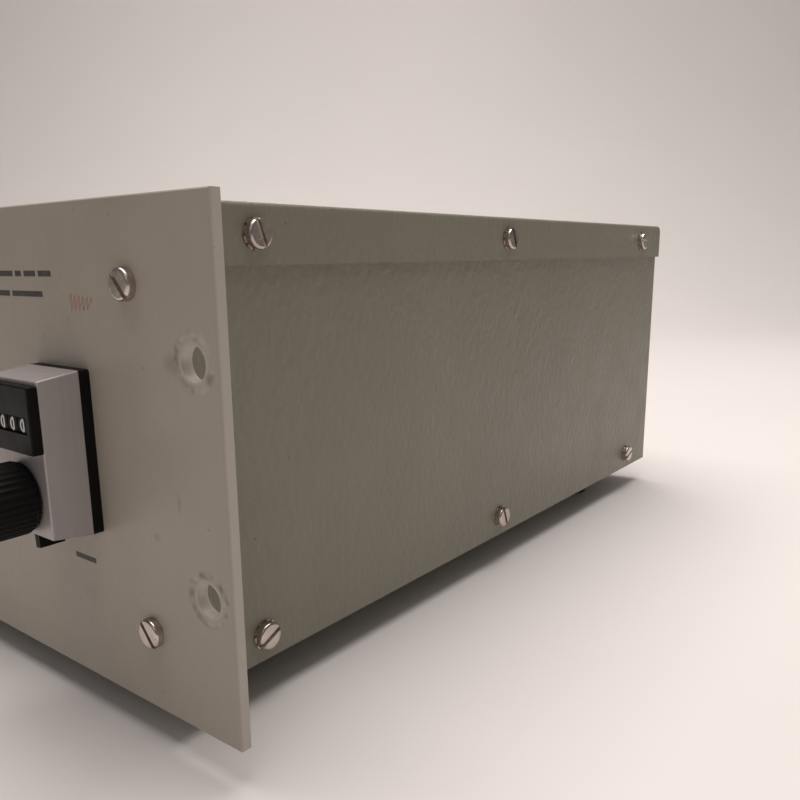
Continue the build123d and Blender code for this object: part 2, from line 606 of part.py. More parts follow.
# ---- Toggle switches -----------------------------------------------------------------------------
TOGGLE_BUSH_R = 5.95
TOGGLE_FRONT = -9.0
TOGGLE_PIVOT = -4.0
TOGGLE_TILT = 12.5
TOGGLE_LONG = 21.0
TOGGLE_BALL_R = 3.3
for use, (toggle_x, toggle_z) in TOGGLE_AT.items():
    with BuildPart() as toggle_switch:
        rod_y(toggle_x, toggle_z, (deep(TOGGLE_FRONT), deep(PANEL_THICK + 0.5)), TOGGLE_BUSH_R)
        body_z = (toggle_z - 15, toggle_z + 15)
        block((toggle_x - 8.5, toggle_x + 8.5), (deep(PANEL_THICK), deep(28)), body_z)
        for tag in (-9.0, 0.0, 9.0):
            tag_z = (toggle_z + tag - 0.5, toggle_z + tag + 0.5)
            block((toggle_x - 2.5, toggle_x + 2.5), (deep(28), deep(34)), tag_z)
        rod_y(toggle_x, toggle_z, (deep(TOGGLE_FRONT - 1), deep(2)), TOGGLE_BALL_R + 0.35, Mode.SUBTRACT)
    finish(toggle_switch, f"{use}_switch")

    with BuildPart() as toggle_lever:
        tilt = Location((toggle_x, deep(TOGGLE_PIVOT), toggle_z), (90 + TOGGLE_TILT, 0, 0))
        with Locations(tilt):
            Sphere(TOGGLE_BALL_R)
        with Locations(tilt * Location((0, 0, TOGGLE_LONG / 2))):
            Cone(1.5, 2.7, TOGGLE_LONG)
        with Locations(tilt * Location((0, 0, TOGGLE_LONG))):
            Sphere(2.7)
    finish(toggle_lever, f"{use}_switch_lever")

with BuildPart() as switch_nuts:
    for toggle_x, toggle_z in TOGGLE_AT.values():
        hexagon_y(toggle_x, toggle_z, (deep(-2.4), deep(0)), 17.0)
        rod_y(toggle_x, toggle_z, (deep(-3), deep(1)), TOGGLE_BUSH_R + 0.1, Mode.SUBTRACT)
finish(switch_nuts, "switch_nuts")

# ---- Pilot lamps ---------------------------------------------------------------------------------
with BuildPart() as lamp_holders:
    for lamp_x, lamp_z in LAMP_AT:
        rod_y(lamp_x, lamp_z, (deep(-3.0), deep(0)), 8.4, front_radius=7.4)
        rod_y(lamp_x, lamp_z, (deep(0), deep(30)), 6.2)
        rod_y(lamp_x, lamp_z, (deep(-4), deep(20)), 5.3, Mode.SUBTRACT)
finish(lamp_holders, "lamp_holders")

with BuildPart() as lamp_lenses:
    for lamp_x, lamp_z in LAMP_AT:
        rod_y(lamp_x, lamp_z, (deep(-8.0), deep(6)), 5.2)
        with Locations((lamp_x, deep(-8.0), lamp_z)):
            Sphere(5.2)
finish(lamp_lenses, "lamp_lenses")

# ---- Panel meter ---------------------------------------------------------------------------------
METER_X, METER_Z = METER_AT
METER_FRONT = -11.0
METER_WALL = 2.0
METER_REAR = 40.0
half_w, half_h = METER_SIZE[0] / 2, METER_SIZE[1] / 2
PANE_Z = (METER_Z - 17.0, METER_Z + half_h - 3.5)
ZERO_SCREW_Z = METER_Z - 26
with BuildPart() as meter_housing:
    case_z = (METER_Z - half_h, METER_Z + half_h)
    block((METER_X - half_w, METER_X + half_w), (deep(METER_FRONT), deep(0)), case_z)
    fillet(meter_housing.edges().filter_by(Axis.Y), 3.0)
    fillet(meter_housing.faces().sort_by(Axis.Y)[0].edges(), 1.5)
    rod_y(METER_X, METER_Z, (deep(-1), deep(METER_REAR)), METER_BARREL_R)
    block(
        (METER_X - half_w + METER_WALL, METER_X + half_w - METER_WALL),
        (deep(METER_FRONT + METER_WALL), deep(-METER_WALL)),
        (METER_Z - half_h + METER_WALL, METER_Z + half_h - METER_WALL),
        Mode.SUBTRACT,
    )
    barrel_y = (deep(-3), deep(METER_REAR - METER_WALL))
    rod_y(METER_X, METER_Z, barrel_y, METER_BARREL_R - METER_WALL, Mode.SUBTRACT)
    block(
        (METER_X - half_w + 3.5, METER_X + half_w - 3.5),
        (deep(METER_FRONT - 1), deep(METER_FRONT + METER_WALL + 1)),
        PANE_Z,
        Mode.SUBTRACT,
    )
    screw_y = (deep(METER_FRONT - 1), deep(METER_FRONT + METER_WALL + 1))
    rod_y(METER_X, ZERO_SCREW_Z, screw_y, 3.0, Mode.SUBTRACT)
finish(meter_housing, "meter_housing")

with BuildPart() as meter_window:
    block(
        (METER_X - half_w + METER_WALL + 0.3, METER_X + half_w - METER_WALL - 0.3),
        (deep(METER_FRONT + METER_WALL), deep(METER_FRONT + METER_WALL + 1.4)),
        (PANE_Z[0] - 2, METER_Z + half_h - METER_WALL - 0.3),
    )
finish(meter_window, "meter_window")

SCALE_Y = (deep(-2.6), deep(-2.0))
SCALE_HALF = 39.6
with BuildPart() as meter_scale:
    block((METER_X - SCALE_HALF, METER_X + SCALE_HALF), SCALE_Y, (METER_Z - 24, METER_Z + 34))
    rod_y(METER_X, POINTER_PIVOT_Z, (SCALE_Y[0] - 1, SCALE_Y[1] + 1), 3.0, Mode.SUBTRACT)
finish(meter_scale, "meter_scale")

POINTER_REACH = 41.0
POINTER_REST = -45.0
with BuildPart() as meter_pointer:
    rod_y(METER_X, POINTER_PIVOT_Z, (deep(-5.6), deep(-3.4)), 2.4)
    rod_y(METER_X, POINTER_PIVOT_Z, (deep(-3.6), deep(14)), 1.0)
    lean = Location((METER_X, deep(-4.6), POINTER_PIVOT_Z), (0, POINTER_REST, 0))
    with Locations(lean * Location((0, 0, POINTER_REACH / 2))):
        Box(0.9, 0.5, POINTER_REACH)
    with Locations(lean * Location((0, 0, -5))):
        Box(1.8, 0.5, 6)
finish(meter_pointer, "meter_pointer")

with BuildPart() as meter_movement:
    block((METER_X - 15, METER_X + 15), (deep(1), deep(34)), (POINTER_PIVOT_Z - 9, POINTER_PIVOT_Z + 24))
    rod_y(METER_X, POINTER_PIVOT_Z, (deep(0), deep(16)), 1.3, Mode.SUBTRACT)
finish(meter_movement, "meter_movement")

with BuildPart() as meter_zero_screw:
    rod_y(METER_X, ZERO_SCREW_Z, (deep(METER_FRONT - 1.0), deep(METER_FRONT + METER_WALL + 1)), 2.7)
    fillet(meter_zero_screw.faces().sort_by(Axis.Y)[0].edges(), 0.4)
    slot_y = (deep(METER_FRONT - 2), deep(METER_FRONT))
    block((METER_X - 4, METER_X + 4), slot_y, (ZERO_SCREW_Z - 0.5, ZERO_SCREW_Z + 0.5), Mode.SUBTRACT)
finish(meter_zero_screw, "meter_zero_screw")

# ---- Rear fittings: mains inlet, fuse holder, output connectors, ground post ---------------------
INLET_X, INLET_Z = INLET_AT
SOCKET_HALF = (11.6, 7.6)
SOCKET_DEEP = 17.0
rear_face = REAR_OUT
with BuildPart() as mains_inlet:
    block((INLET_X - 24, INLET_X + 24), (rear_face, rear_face + 3), (INLET_Z - 14, INLET_Z + 14))
    fillet(mains_inlet.edges().filter_by(Axis.Y), 3.0)
    block((INLET_X - 13.5, INLET_X + 13.5), (rear_face - 20, rear_face), (INLET_Z - 9.8, INLET_Z + 9.8))
    block(
        (INLET_X - SOCKET_HALF[0], INLET_X + SOCKET_HALF[0]),
        (rear_face + 3 - SOCKET_DEEP, rear_face + 4),
        (INLET_Z - SOCKET_HALF[1], INLET_Z + SOCKET_HALF[1]),
        Mode.SUBTRACT,
    )
    for pin_x, pin_z in ((-7, -2), (0, 2), (7, -2)):
        pin_back = rear_face + 3 - SOCKET_DEEP
        block(
            (INLET_X + pin_x - 1, INLET_X + pin_x + 1),
            (pin_back - 20, pin_back + 1),
            (INLET_Z + pin_z - 2, INLET_Z + pin_z + 2),
            Mode.SUBTRACT,
        )
finish(mains_inlet, "mains_inlet")

with BuildPart() as inlet_pins:
    for pin_x, pin_z in ((-7, -2), (0, 2), (7, -2)):
        pin_back = rear_face + 3 - SOCKET_DEEP
        block(
            (INLET_X + pin_x - 1, INLET_X + pin_x + 1),
            (pin_back - 12, pin_back + 12),
            (INLET_Z + pin_z - 2, INLET_Z + pin_z + 2),
        )
finish(inlet_pins, "inlet_pins")

FUSE_X, FUSE_Z = FUSE_AT
FUSE_BODY_R = 6.3
FUSE_R = 3.1
FUSE_CAP_R = 7.2
with BuildPart() as fuse_holder:
    rod_y(FUSE_X, FUSE_Z, (rear_face - 38, rear_face + 1), FUSE_BODY_R)
    rod_y(FUSE_X, FUSE_Z, (rear_face, rear_face + 2.5), 9.0)
    rod_y(FUSE_X, FUSE_Z, (rear_face - 34, rear_face + 4), FUSE_R + 0.4, Mode.SUBTRACT)
finish(fuse_holder, "fuse_holder")

FUSE_IN = rear_face - 32
with BuildPart() as fuse:
    rod_y(FUSE_X, FUSE_Z, (FUSE_IN, rear_face + 4.5), FUSE_R)
finish(fuse, "fuse")

with BuildPart() as fuse_cap:
    rod_y(FUSE_X, FUSE_Z, (rear_face + 2.7, rear_face + 12), FUSE_CAP_R - 0.6)
    rod_y(FUSE_X, FUSE_Z, (rear_face + 5.5, rear_face + 12), FUSE_CAP_R)
    rod_y(FUSE_X, FUSE_Z, (rear_face + 2, rear_face + 4.5), FUSE_R + SHAFT_FIT, Mode.SUBTRACT)
    fillet(fuse_cap.faces().sort_by(Axis.Y)[-1].edges(), 0.8)
finish(fuse_cap, "fuse_cap")

BARREL_R = 4.85
BARREL_LONG = 14.0
with BuildPart() as output_connectors:
    for connector_x, connector_z in CONNECTOR_AT:
        rod_y(connector_x, connector_z, (rear_face - 12, rear_face + 1), 6.0)
        hexagon_y(connector_x, connector_z, (rear_face, rear_face + 2.5), 16.0)
        rod_y(connector_x, connector_z, (rear_face + 2.5, rear_face + 2.5 + BARREL_LONG), BARREL_R)
        rod_y(connector_x, connector_z, (rear_face + 4, rear_face + 18), 4.1, Mode.SUBTRACT)
        rod_y(connector_x, connector_z, (rear_face - 13, rear_face + 5), 3.0, Mode.SUBTRACT)
finish(output_connectors, "output_connectors")

with BuildPart() as connector_contacts:
    for connector_x, connector_z in CONNECTOR_AT:
        rod_y(connector_x, connector_z, (rear_face - 14, rear_face + 4.0), 2.95)
        rod_y(connector_x, connector_z, (rear_face + 4.0, rear_face + 12), 1.0)
finish(connector_contacts, "connector_contacts")

GROUND_X, GROUND_Z = GROUND_AT
POST_R = 3.0
with BuildPart() as ground_post:
    rod_y(GROUND_X, GROUND_Z, (rear_face - 9, rear_face + 16), POST_R)
    hexagon_y(GROUND_X, GROUND_Z, (rear_face, rear_face + 3), 11.0)
    hexagon_y(GROUND_X, GROUND_Z, (REAR_IN - 3, REAR_IN), 11.0)
finish(ground_post, "ground_post")

with BuildPart() as ground_nut:
    add(fluted(GROUND_X, GROUND_Z, (rear_face + 3.3, rear_face + 12), 6.5, 18, 0.6))
    rod_y(GROUND_X, GROUND_Z, (rear_face + 2, rear_face + 13), POST_R + SHAFT_FIT, Mode.SUBTRACT)
finish(ground_nut, "ground_nut")

# ---- Inside: transformer, capacitors, regulator board, heat sink, wiring -------------------------
TRANSFORMER_AT = (-130.0, deep(215))
CORE = (96.0, 60.0, 80.0)
core_x, core_y = TRANSFORMER_AT
core_low = TRAY_FLOOR
with BuildPart() as transformer_core:
    block(
        (core_x - CORE[0] / 2, core_x + CORE[0] / 2),
        (core_y - CORE[1] / 2, core_y + CORE[1] / 2),
        (core_low, core_low + CORE[2]),
    )
    for window in (-1, 1):
        window_x = core_x + window * CORE[0] / 4
        block(
            (window_x - 8, window_x + 8),
            (core_y - CORE[1], core_y + CORE[1]),
            (core_low + 16, core_low + 64),
            Mode.SUBTRACT,
        )
finish(transformer_core, "transformer_core")

with BuildPart() as transformer_winding:
    block((core_x - 31.6, core_x + 31.6), (core_y - 46, core_y + 46), (core_low + 16.4, core_low + 63.6))
    fillet(transformer_winding.edges().filter_by(Axis.Z), 9.0)
    leg_y = (core_y - 30.2, core_y + 30.2)
    block((core_x - 16.2, core_x + 16.2), leg_y, (core_low, core_low + 80), Mode.SUBTRACT)
finish(transformer_winding, "transformer_winding")

CAN_R = 17.5
CAN_TALL = 85.0
with BuildPart() as filter_capacitors:
    for can in range(3):
        can_x = 190.0 - 52.0 - can * 42.0
        rod_z(can_x, deep(265), (TRAY_FLOOR, TRAY_FLOOR + CAN_TALL), CAN_R)
    fillet(filter_capacitors.edges().filter_by(GeomType.CIRCLE).group_by(Axis.Z)[-1], 1.5)
finish(filter_capacitors, "filter_capacitors")

BOARD_X = (-20.0, 170.0)
BOARD_DEPTHS = (85.0, 225.0)
BOARD_Z = 34.0
BOARD_THICK = 1.6
with BuildPart() as regulator_board:
    block(BOARD_X, [deep(d) for d in BOARD_DEPTHS], (BOARD_Z, BOARD_Z + BOARD_THICK))
    for corner_x in (BOARD_X[0] + 8, BOARD_X[1] - 8):
        for corner_depth in (BOARD_DEPTHS[0] + 8, BOARD_DEPTHS[1] - 8):
            rod_z(corner_x, deep(corner_depth), (TRAY_FLOOR, BOARD_Z), 3.5)
finish(regulator_board, "regulator_board")

with BuildPart() as board_components:
    for row in range(3):
        for place in range(5):
            spot_x = BOARD_X[0] + 30 + place * 32.0
            spot_y = deep(BOARD_DEPTHS[0] + 30 + row * 38.0)
            if (row + place) % 2:
                rod_z(spot_x, spot_y, (BOARD_Z + BOARD_THICK, BOARD_Z + BOARD_THICK + 26), 7.0)
            else:
                part_z = (BOARD_Z + BOARD_THICK, BOARD_Z + 14)
                block((spot_x - 9, spot_x + 9), (spot_y - 4, spot_y + 4), part_z)
finish(board_components, "board_components")

SINK_X = (-62.0, 30.0)
SINK_REAR = REAR_IN
with BuildPart() as heat_sink:
    block(SINK_X, (SINK_REAR - 36, SINK_REAR - 30), (TRAY_FLANGE_TOP + 2, 82))
    for fin in range(10):
        fin_x = SINK_X[0] + 1.5 + fin * (SINK_X[1] - SINK_X[0] - 3) / 9
        block((fin_x - 1.2, fin_x + 1.2), (SINK_REAR - 31, SINK_REAR), (TRAY_FLANGE_TOP + 2, 82))
finish(heat_sink, "heat_sink")

with BuildPart() as power_transistors:
    for transistor_x in (-40.0, 8.0):
        block((transistor_x - 14, transistor_x + 14), (SINK_REAR - 38, SINK_REAR - 36), (46, 70))
        rod_y(transistor_x, 58, (SINK_REAR - 44, SINK_REAR - 37), 10.0)
finish(power_transistors, "power_transistors")

LOOM_R = 3.0
loom_points = [
    (INLET_X, deep(296), 45.0),
    (INLET_X + 6, deep(284), 24.0),
    (INLET_X - 18, deep(262), 19.5),
    (-196.0, deep(200), 18.2),
    (-199.0, deep(130), 18.2),
    (-197.0, deep(70), 18.5),
    (-193.0, deep(46), 30.0),
    (-190.0, deep(36), 54.0),
]
with BuildPart() as wiring_loom:
    with BuildLine() as loom_line:
        FilletPolyline(*loom_points, radius=9.0)
    with BuildSketch(Plane(origin=loom_line.line @ 0, z_dir=loom_line.line % 0)):
        Circle(LOOM_R)
    sweep(path=loom_line.line)
finish(wiring_loom, "wiring_loom")
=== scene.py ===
"""Looks of the rack-panel power supply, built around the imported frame. Metres, in the row frame."""

import json
from math import asin, cos, pi, radians, sin

import bmesh
import bpy
from mathutils import Matrix, Vector


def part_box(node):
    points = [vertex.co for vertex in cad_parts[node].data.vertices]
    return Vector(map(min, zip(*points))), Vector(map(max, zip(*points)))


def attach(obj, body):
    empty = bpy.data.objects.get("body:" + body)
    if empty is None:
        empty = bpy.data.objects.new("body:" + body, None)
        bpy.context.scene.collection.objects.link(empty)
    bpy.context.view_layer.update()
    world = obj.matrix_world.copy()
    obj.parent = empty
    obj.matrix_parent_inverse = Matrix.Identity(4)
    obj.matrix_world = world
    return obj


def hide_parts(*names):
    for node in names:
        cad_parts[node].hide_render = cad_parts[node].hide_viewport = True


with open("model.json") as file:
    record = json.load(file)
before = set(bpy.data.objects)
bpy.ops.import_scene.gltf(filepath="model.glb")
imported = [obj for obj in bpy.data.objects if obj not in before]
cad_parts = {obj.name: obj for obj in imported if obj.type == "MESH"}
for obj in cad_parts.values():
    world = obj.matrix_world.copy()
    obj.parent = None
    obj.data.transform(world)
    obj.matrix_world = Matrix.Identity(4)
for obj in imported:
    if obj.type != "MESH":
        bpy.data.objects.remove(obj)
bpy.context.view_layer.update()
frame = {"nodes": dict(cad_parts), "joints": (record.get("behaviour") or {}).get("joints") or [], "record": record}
MM = 0.001


# ---- Places, all read from the frame -------------------------------------------------------------
def middle(node):
    """The centre of a CAD node's box."""
    low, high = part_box(node)
    return (low + high) / 2


panel_low, panel_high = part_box("front_panel")
PANEL_Y = panel_low.y
cover_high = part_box("top_cover")[1]
REAR_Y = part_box("rear_panel")[1].y
MOUNTS = {mount["name"]: mount for mount in frame["record"]["mounts"]}
rack = MOUNTS["rack_holes"]
RACK_X = rack["dims"]["spacing_x_mm"] * MM / 2
RACK_ZS = [rack["pos_m"][2] + side * rack["dims"]["spacing_y_mm"] * MM / 2 for side in (-1, 1)]
lens_low, lens_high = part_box("lamp_lenses")
LENS_R = (lens_high.z - lens_low.z) / 2
LAMP_Z = (lens_low.z + lens_high.z) / 2
LAMP_XS = (lens_low.x + LENS_R, lens_high.x - LENS_R)


def joint_place(name):
    """The point on a joint's axis that the record gives."""
    return Vector(next(j for j in frame["joints"] if j["name"] == name)["pos_m"])


# ---- Material building ---------------------------------------------------------------------------
class Paint:
    """A node material under construction: short calls for the nodes that the looks need."""

    def __init__(self, name, roughness=0.5, metallic=0.0, **inputs):
        self.mat = bpy.data.materials.new(name)
        self.mat.use_nodes = True
        self.tree = self.mat.node_tree
        self.bsdf = self.tree.nodes["Principled BSDF"]
        self.set("Roughness", roughness)
        self.set("Metallic", metallic)
        for socket, value in inputs.items():
            self.set(socket.replace("_", " "), value)
        self.coords = self.tree.nodes.new("ShaderNodeTexCoord").outputs["Object"]

    def set(self, socket, value):
        """Set or link one of the shader's own sockets."""
        if isinstance(value, bpy.types.NodeSocket):
            self.tree.links.new(value, self.bsdf.inputs[socket])
        else:
            self.bsdf.inputs[socket].default_value = value

    def node(self, kind, **inputs):
        """A new node with some inputs set or linked, by name, or by position as i0, i1 and so on."""
        made = self.tree.nodes.new("ShaderNode" + kind)
        for key, value in inputs.items():
            target = made.inputs[int(key[1:])] if key[0] == "i" and key[1:].isdigit() else made.inputs[key]
            if isinstance(value, bpy.types.NodeSocket):
                self.tree.links.new(value, target)
            else:
                target.default_value = value
        return made

    def stretched(self, scale):
        """The coordinates scaled along each axis."""
        made = self.node("Mapping", Vector=self.coords)
        made.inputs["Scale"].default_value = scale
        return made.outputs[0]

    def shifted(self, offset):
        """The coordinates moved, so a second noise differs from the first."""
        made = self.node("Mapping", Vector=self.coords)
        made.inputs["Location"].default_value = offset
        return made.outputs[0]

    def noise(self, scale, detail=3.0, rough=0.5, vector=None):
        """Fractal noise, 0 to 1, with its scale in features per metre."""
        vector = self.coords if vector is None else vector
        made = self.node("TexNoise", Vector=vector, Scale=scale, Detail=detail, Roughness=rough)
        return made.outputs["Fac"]

    def cells(self, scale):
        """Distance to the nearest of scattered points."""
        return self.node("TexVoronoi", Vector=self.coords, Scale=scale).outputs["Distance"]

    def ramp(self, value, low, high, start=0.0, end=1.0):
        """A value rescaled from low..high to start..end and held there."""
        made = self.node("MapRange", Value=value)
        for key, number in (("From Min", low), ("From Max", high), ("To Min", start), ("To Max", end)):
            made.inputs[key].default_value = number
        made.clamp = True
        return made.outputs[0]

    def math(self, operation, a, b=0.0):
        """One arithmetic step."""
        made = self.node("Math", i0=a, i1=b)
        made.operation = operation
        return made.outputs[0]

    def mix(self, share, first, second):
        """Two colours mixed."""
        made = self.tree.nodes.new("ShaderNodeMix")
        made.data_type = "RGBA"
        for index, value in ((0, share), (6, first), (7, second)):
            if isinstance(value, bpy.types.NodeSocket):
                self.tree.links.new(value, made.inputs[index])
            elif index == 0:
                made.inputs[index].default_value = value
            else:
                made.inputs[index].default_value = (*value, 1.0)
        return made.outputs[2]

    def bump(self, height, depth, strength=1.0):
        """Surface relief from a height, depth in metres; calls add up."""
        made = self.node("Bump", Strength=strength, Distance=depth, Height=height)
        if self.bsdf.inputs["Normal"].links:
            self.tree.links.new(self.bsdf.inputs["Normal"].links[0].from_socket, made.inputs["Normal"])
        self.set("Normal", made.outputs[0])

    def split(self):
        """The x, y and z of the coordinates."""
        return self.node("SeparateXYZ", Vector=self.coords).outputs

    def near(self, x, z, squeeze=1.0):
        """Distance in the panel's plane from a point (x, z)."""
        parts = self.split()
        across = self.math("SUBTRACT", parts[0], x)
        up = self.math("SUBTRACT", parts[2], z)
        across = self.math("MULTIPLY", self.math("MULTIPLY", across, across), squeeze)
        return self.math("SQRT", self.math("ADD", across, self.math("MULTIPLY", up, up)))


PANEL_COLOUR = (0.385, 0.345, 0.292)
PANEL_SHADE = (0.35, 0.314, 0.266)
CASE_COLOUR = (0.245, 0.230, 0.181)
CASE_SHADE = (0.222, 0.208, 0.164)
NICK_COLOUR = (0.09, 0.085, 0.075)
DUST_COLOUR = (0.62, 0.6, 0.55)
SMUDGE_COLOUR = (0.2, 0.185, 0.16)
CHIP_COLOUR = (0.07, 0.06, 0.05)
WEAR_DARK = (0.17, 0.152, 0.13)
# Pale colour for the rubbed wear round the rack holes, and for the painted highlight on the panel's edges
PALE_WEAR_AND_HIGHLIGHT = (0.56, 0.52, 0.465)
# Washer wear round a rack hole, in mm from its centre: each pair is where a change starts and ends
BAND_STARTS = (5.0, 6.0)
BAND_ENDS = (6.6, 7.6)
RIM_POLISH = (4.6, 5.4)
# Handling marks on the panel: mm in from the right end, mm up, width squeeze, radius mm, strength
SCUFFS = (
    (16.6, 94.3, 0.8, 3.4, 0.5),
    (17.6, 60.5, 12.0, 3.2, 0.45),
    (27.8, 49.6, 1.0, 1.8, 0.35),
    (60.3, 26.0, 0.6, 5.0, 0.12),
)


def enamel(name, colour, shade, spots=1.0, peel=1.0):
    """Instrument enamel: rippled orange peel with painted shade in its hollows, cloudy tone, pale dust specks and
    dark nicks.
    """
    paint = Paint(name, Specular_IOR_Level=0.34)
    cloud = paint.noise(9.0, 4.0, 0.6)
    drag = paint.noise(38.0, 3.0, 0.55, paint.stretched((1.0, 1.0, 0.35)))
    base = paint.mix(paint.ramp(cloud, 0.35, 0.7), colour, shade)
    base = paint.mix(paint.ramp(drag, 0.45, 0.75, 0.0, 0.22), base, [v * 0.9 for v in shade])
    specks = paint.cells(105.0)
    base = paint.mix(paint.ramp(specks, 0.035, 0.055, 0.5 * spots, 0.0), base, NICK_COLOUR)
    dust = paint.cells(260.0)
    base = paint.mix(paint.ramp(dust, 0.03, 0.06, 0.35 * spots, 0.0), base, DUST_COLOUR)
    ripple = paint.noise(470.0, 1.0, 0.4, paint.stretched((1.0, 1.0, 0.7)))
    # Painted shade: the low parts of the orange-peel ripple are darkened, as light would shade its hollows.
    base = paint.mix(paint.ramp(ripple, 0.34, 0.48, 0.06 * peel, 0.0), base, [0.75 * v for v in shade])
    paint.set("Base Color", base)
    paint.set("Roughness", paint.ramp(paint.noise(60.0, 3.0), 0.3, 0.7, 0.30, 0.42))
    paint.bump(paint.noise(1700.0, 2.0, 0.5), 0.05 * MM, 0.5 * peel)
    paint.bump(ripple, 0.5 * MM, 0.7 * peel)
    return paint


def worn_hole(paint, base, x, z, wobble, patchy, glossy):
    """A rack hole's wear: a polished rim inside a band that washers rubbed dark and bright."""
    ring = paint.math("ADD", paint.near(x, z), wobble)
    inner = paint.ramp(ring, *[edge * MM for edge in BAND_STARTS])
    outer = paint.ramp(ring, *[edge * MM for edge in BAND_ENDS], 1.0, 0.0)
    band = paint.math("MULTIPLY", inner, outer)
    rubbed = paint.math("MULTIPLY", paint.math("MULTIPLY", band, patchy), 0.9)
    bright = paint.math("MULTIPLY", paint.math("MULTIPLY", band, glossy), 0.45)
    base = paint.mix(rubbed, base, WEAR_DARK)
    base = paint.mix(bright, base, PALE_WEAR_AND_HIGHLIGHT)
    polish = paint.ramp(ring, *[edge * MM for edge in RIM_POLISH], 0.3, 0.0)
    return paint.mix(polish, base, PALE_WEAR_AND_HIGHLIGHT)


def panel_paint():
    """The front panel's warmer enamel: smudges, wear at the rack holes, scuffs, and a painted highlight that makes
    its edges paler.
    """
    paint = enamel("panel_enamel", PANEL_COLOUR, PANEL_SHADE, 0.6, 0.35)
    base = paint.bsdf.inputs["Base Color"].links[0].from_socket
    smudges = paint.ramp(paint.noise(17.0, 5.0, 0.65), 0.56, 0.74, 0.0, 0.12)
    base = paint.mix(smudges, base, SMUDGE_COLOUR)
    patchy = paint.ramp(paint.noise(170.0, 2.0, 0.6), 0.40, 0.56)
    glossy = paint.ramp(paint.noise(150.0, 2.0, 0.6, paint.shifted((3.0, 1.0, 2.0))), 0.44, 0.6)
    wobble = paint.math("MULTIPLY", paint.noise(300.0, 3.0), 2.2 * MM)
    wobble = paint.math("SUBTRACT", wobble, 1.1 * MM)
    for side in (1, -1):
        for z in RACK_ZS:
            base = worn_hole(paint, base, side * RACK_X, z, wobble, patchy, glossy)
    for x, z, squeeze, radius, strength in SCUFFS:
        away = paint.near(panel_high.x - x * MM, panel_low.z + z * MM, squeeze)
        scuff = paint.ramp(paint.math("ADD", away, wobble), 0.0, radius * MM, strength, 0.0)
        base = paint.mix(scuff, base, WEAR_DARK)
    # Painted highlight: the end faces and every face behind the front face are lightened, as light falls on the
    # edges.
    edge = paint.ramp(paint.split()[1], PANEL_Y + 0.1 * MM, PANEL_Y + 0.9 * MM)
    base = paint.mix(paint.math("MULTIPLY", edge, 0.5), base, PALE_WEAR_AND_HIGHLIGHT)
    paint.set("Base Color", base)
    return paint.mat


def case_paint():
    """The case's darker, greener enamel, with a painted highlight and chips along the cover's side bends."""
    paint = enamel("case_enamel", CASE_COLOUR, CASE_SHADE)
    base = paint.bsdf.inputs["Base Color"].links[0].from_socket
    parts = paint.split()
    top = paint.ramp(parts[2], cover_high.z - 1.6 * MM, cover_high.z - 0.4 * MM)
    side = paint.ramp(paint.math("ABSOLUTE", parts[0]), cover_high.x - 1.4 * MM, cover_high.x - 0.4 * MM)
    bend = paint.math("MULTIPLY", top, side)
    chips = paint.ramp(paint.noise(300.0, 2.0, 0.6), 0.66, 0.70)
    # Painted highlight: the bend between top and side is lightened, as light falls on its upturned curve; the
    # chips are real.
    base = paint.mix(paint.math("MULTIPLY", bend, 0.3), base, [1.25 * v for v in CASE_COLOUR])
    paint.set("Base Color", paint.mix(paint.math("MULTIPLY", bend, chips), base, CHIP_COLOUR))
    return paint.mat


def plated():
    """Nickel plate with a warm cast: clean machined faces, fine turning marks, a little tarnish."""
    paint = Paint("nickel_plate", metallic=1.0)
    tone = paint.ramp(paint.noise(110.0, 2.0, 0.5), 0.35, 0.7)
    base = paint.mix(tone, (0.60, 0.535, 0.49), (0.44, 0.38, 0.345))
    stain = paint.ramp(paint.noise(520.0, 3.0, 0.6), 0.62, 0.78, 0.0, 0.6)
    paint.set("Base Color", paint.mix(stain, base, (0.16, 0.115, 0.095)))
    paint.set("Roughness", paint.ramp(paint.noise(300.0, 3.0), 0.3, 0.7, 0.17, 0.3))
    paint.bump(paint.noise(2600.0, 2.0), 0.006 * MM, 0.35)
    return paint.mat


def zinc():
    """Dull zinc plate with a faint spangle."""
    paint = Paint("zinc_plate", metallic=1.0)
    tone = paint.ramp(paint.cells(190.0), 0.1, 0.7)
    paint.set("Base Color", paint.mix(tone, (0.60, 0.60, 0.57), (0.48, 0.48, 0.45)))
    paint.set("Roughness", paint.ramp(paint.noise(80.0), 0.3, 0.7, 0.38, 0.55))
    paint.bump(paint.noise(2200.0), 0.02 * MM, 0.5)
    return paint.mat


def satin_silver():
    """The dial housing: satin silver lacquer over die-cast metal, faintly brushed upwards."""
    paint = Paint("satin_silver", metallic=0.35)
    brushed = paint.noise(900.0, 3.0, 0.6, paint.stretched((1.0, 1.0, 0.05)))
    cloud = paint.noise(120.0, 3.0)
    base = paint.mix(paint.ramp(brushed, 0.35, 0.65), (0.42, 0.383, 0.378), (0.395, 0.36, 0.355))
    base = paint.mix(paint.ramp(cloud, 0.5, 0.75, 0.0, 0.25), base, (0.36, 0.328, 0.315))
    paint.set("Base Color", base)
    paint.set("Roughness", paint.ramp(brushed, 0.3, 0.7, 0.36, 0.48))
    paint.bump(brushed, 0.01 * MM, 0.3)
    return paint.mat


def moulded(name, colour, low, high, grain=1800.0, relief=0.03 * MM):
    """Moulded plastic or phenolic with a fine skin and dusty high spots."""
    paint = Paint(name, Specular_IOR_Level=0.12)
    dusty = paint.ramp(paint.noise(45.0, 5.0, 0.65), 0.5, 0.8, 0.0, 0.3)
    paint.set("Base Color", paint.mix(dusty, colour, [v + 0.01 for v in colour]))
    paint.set("Roughness", paint.ramp(paint.noise(140.0, 4.0, 0.6), 0.3, 0.7, low, high))
    paint.bump(paint.noise(grain, 2.0), relief, 0.5)
    return paint.mat


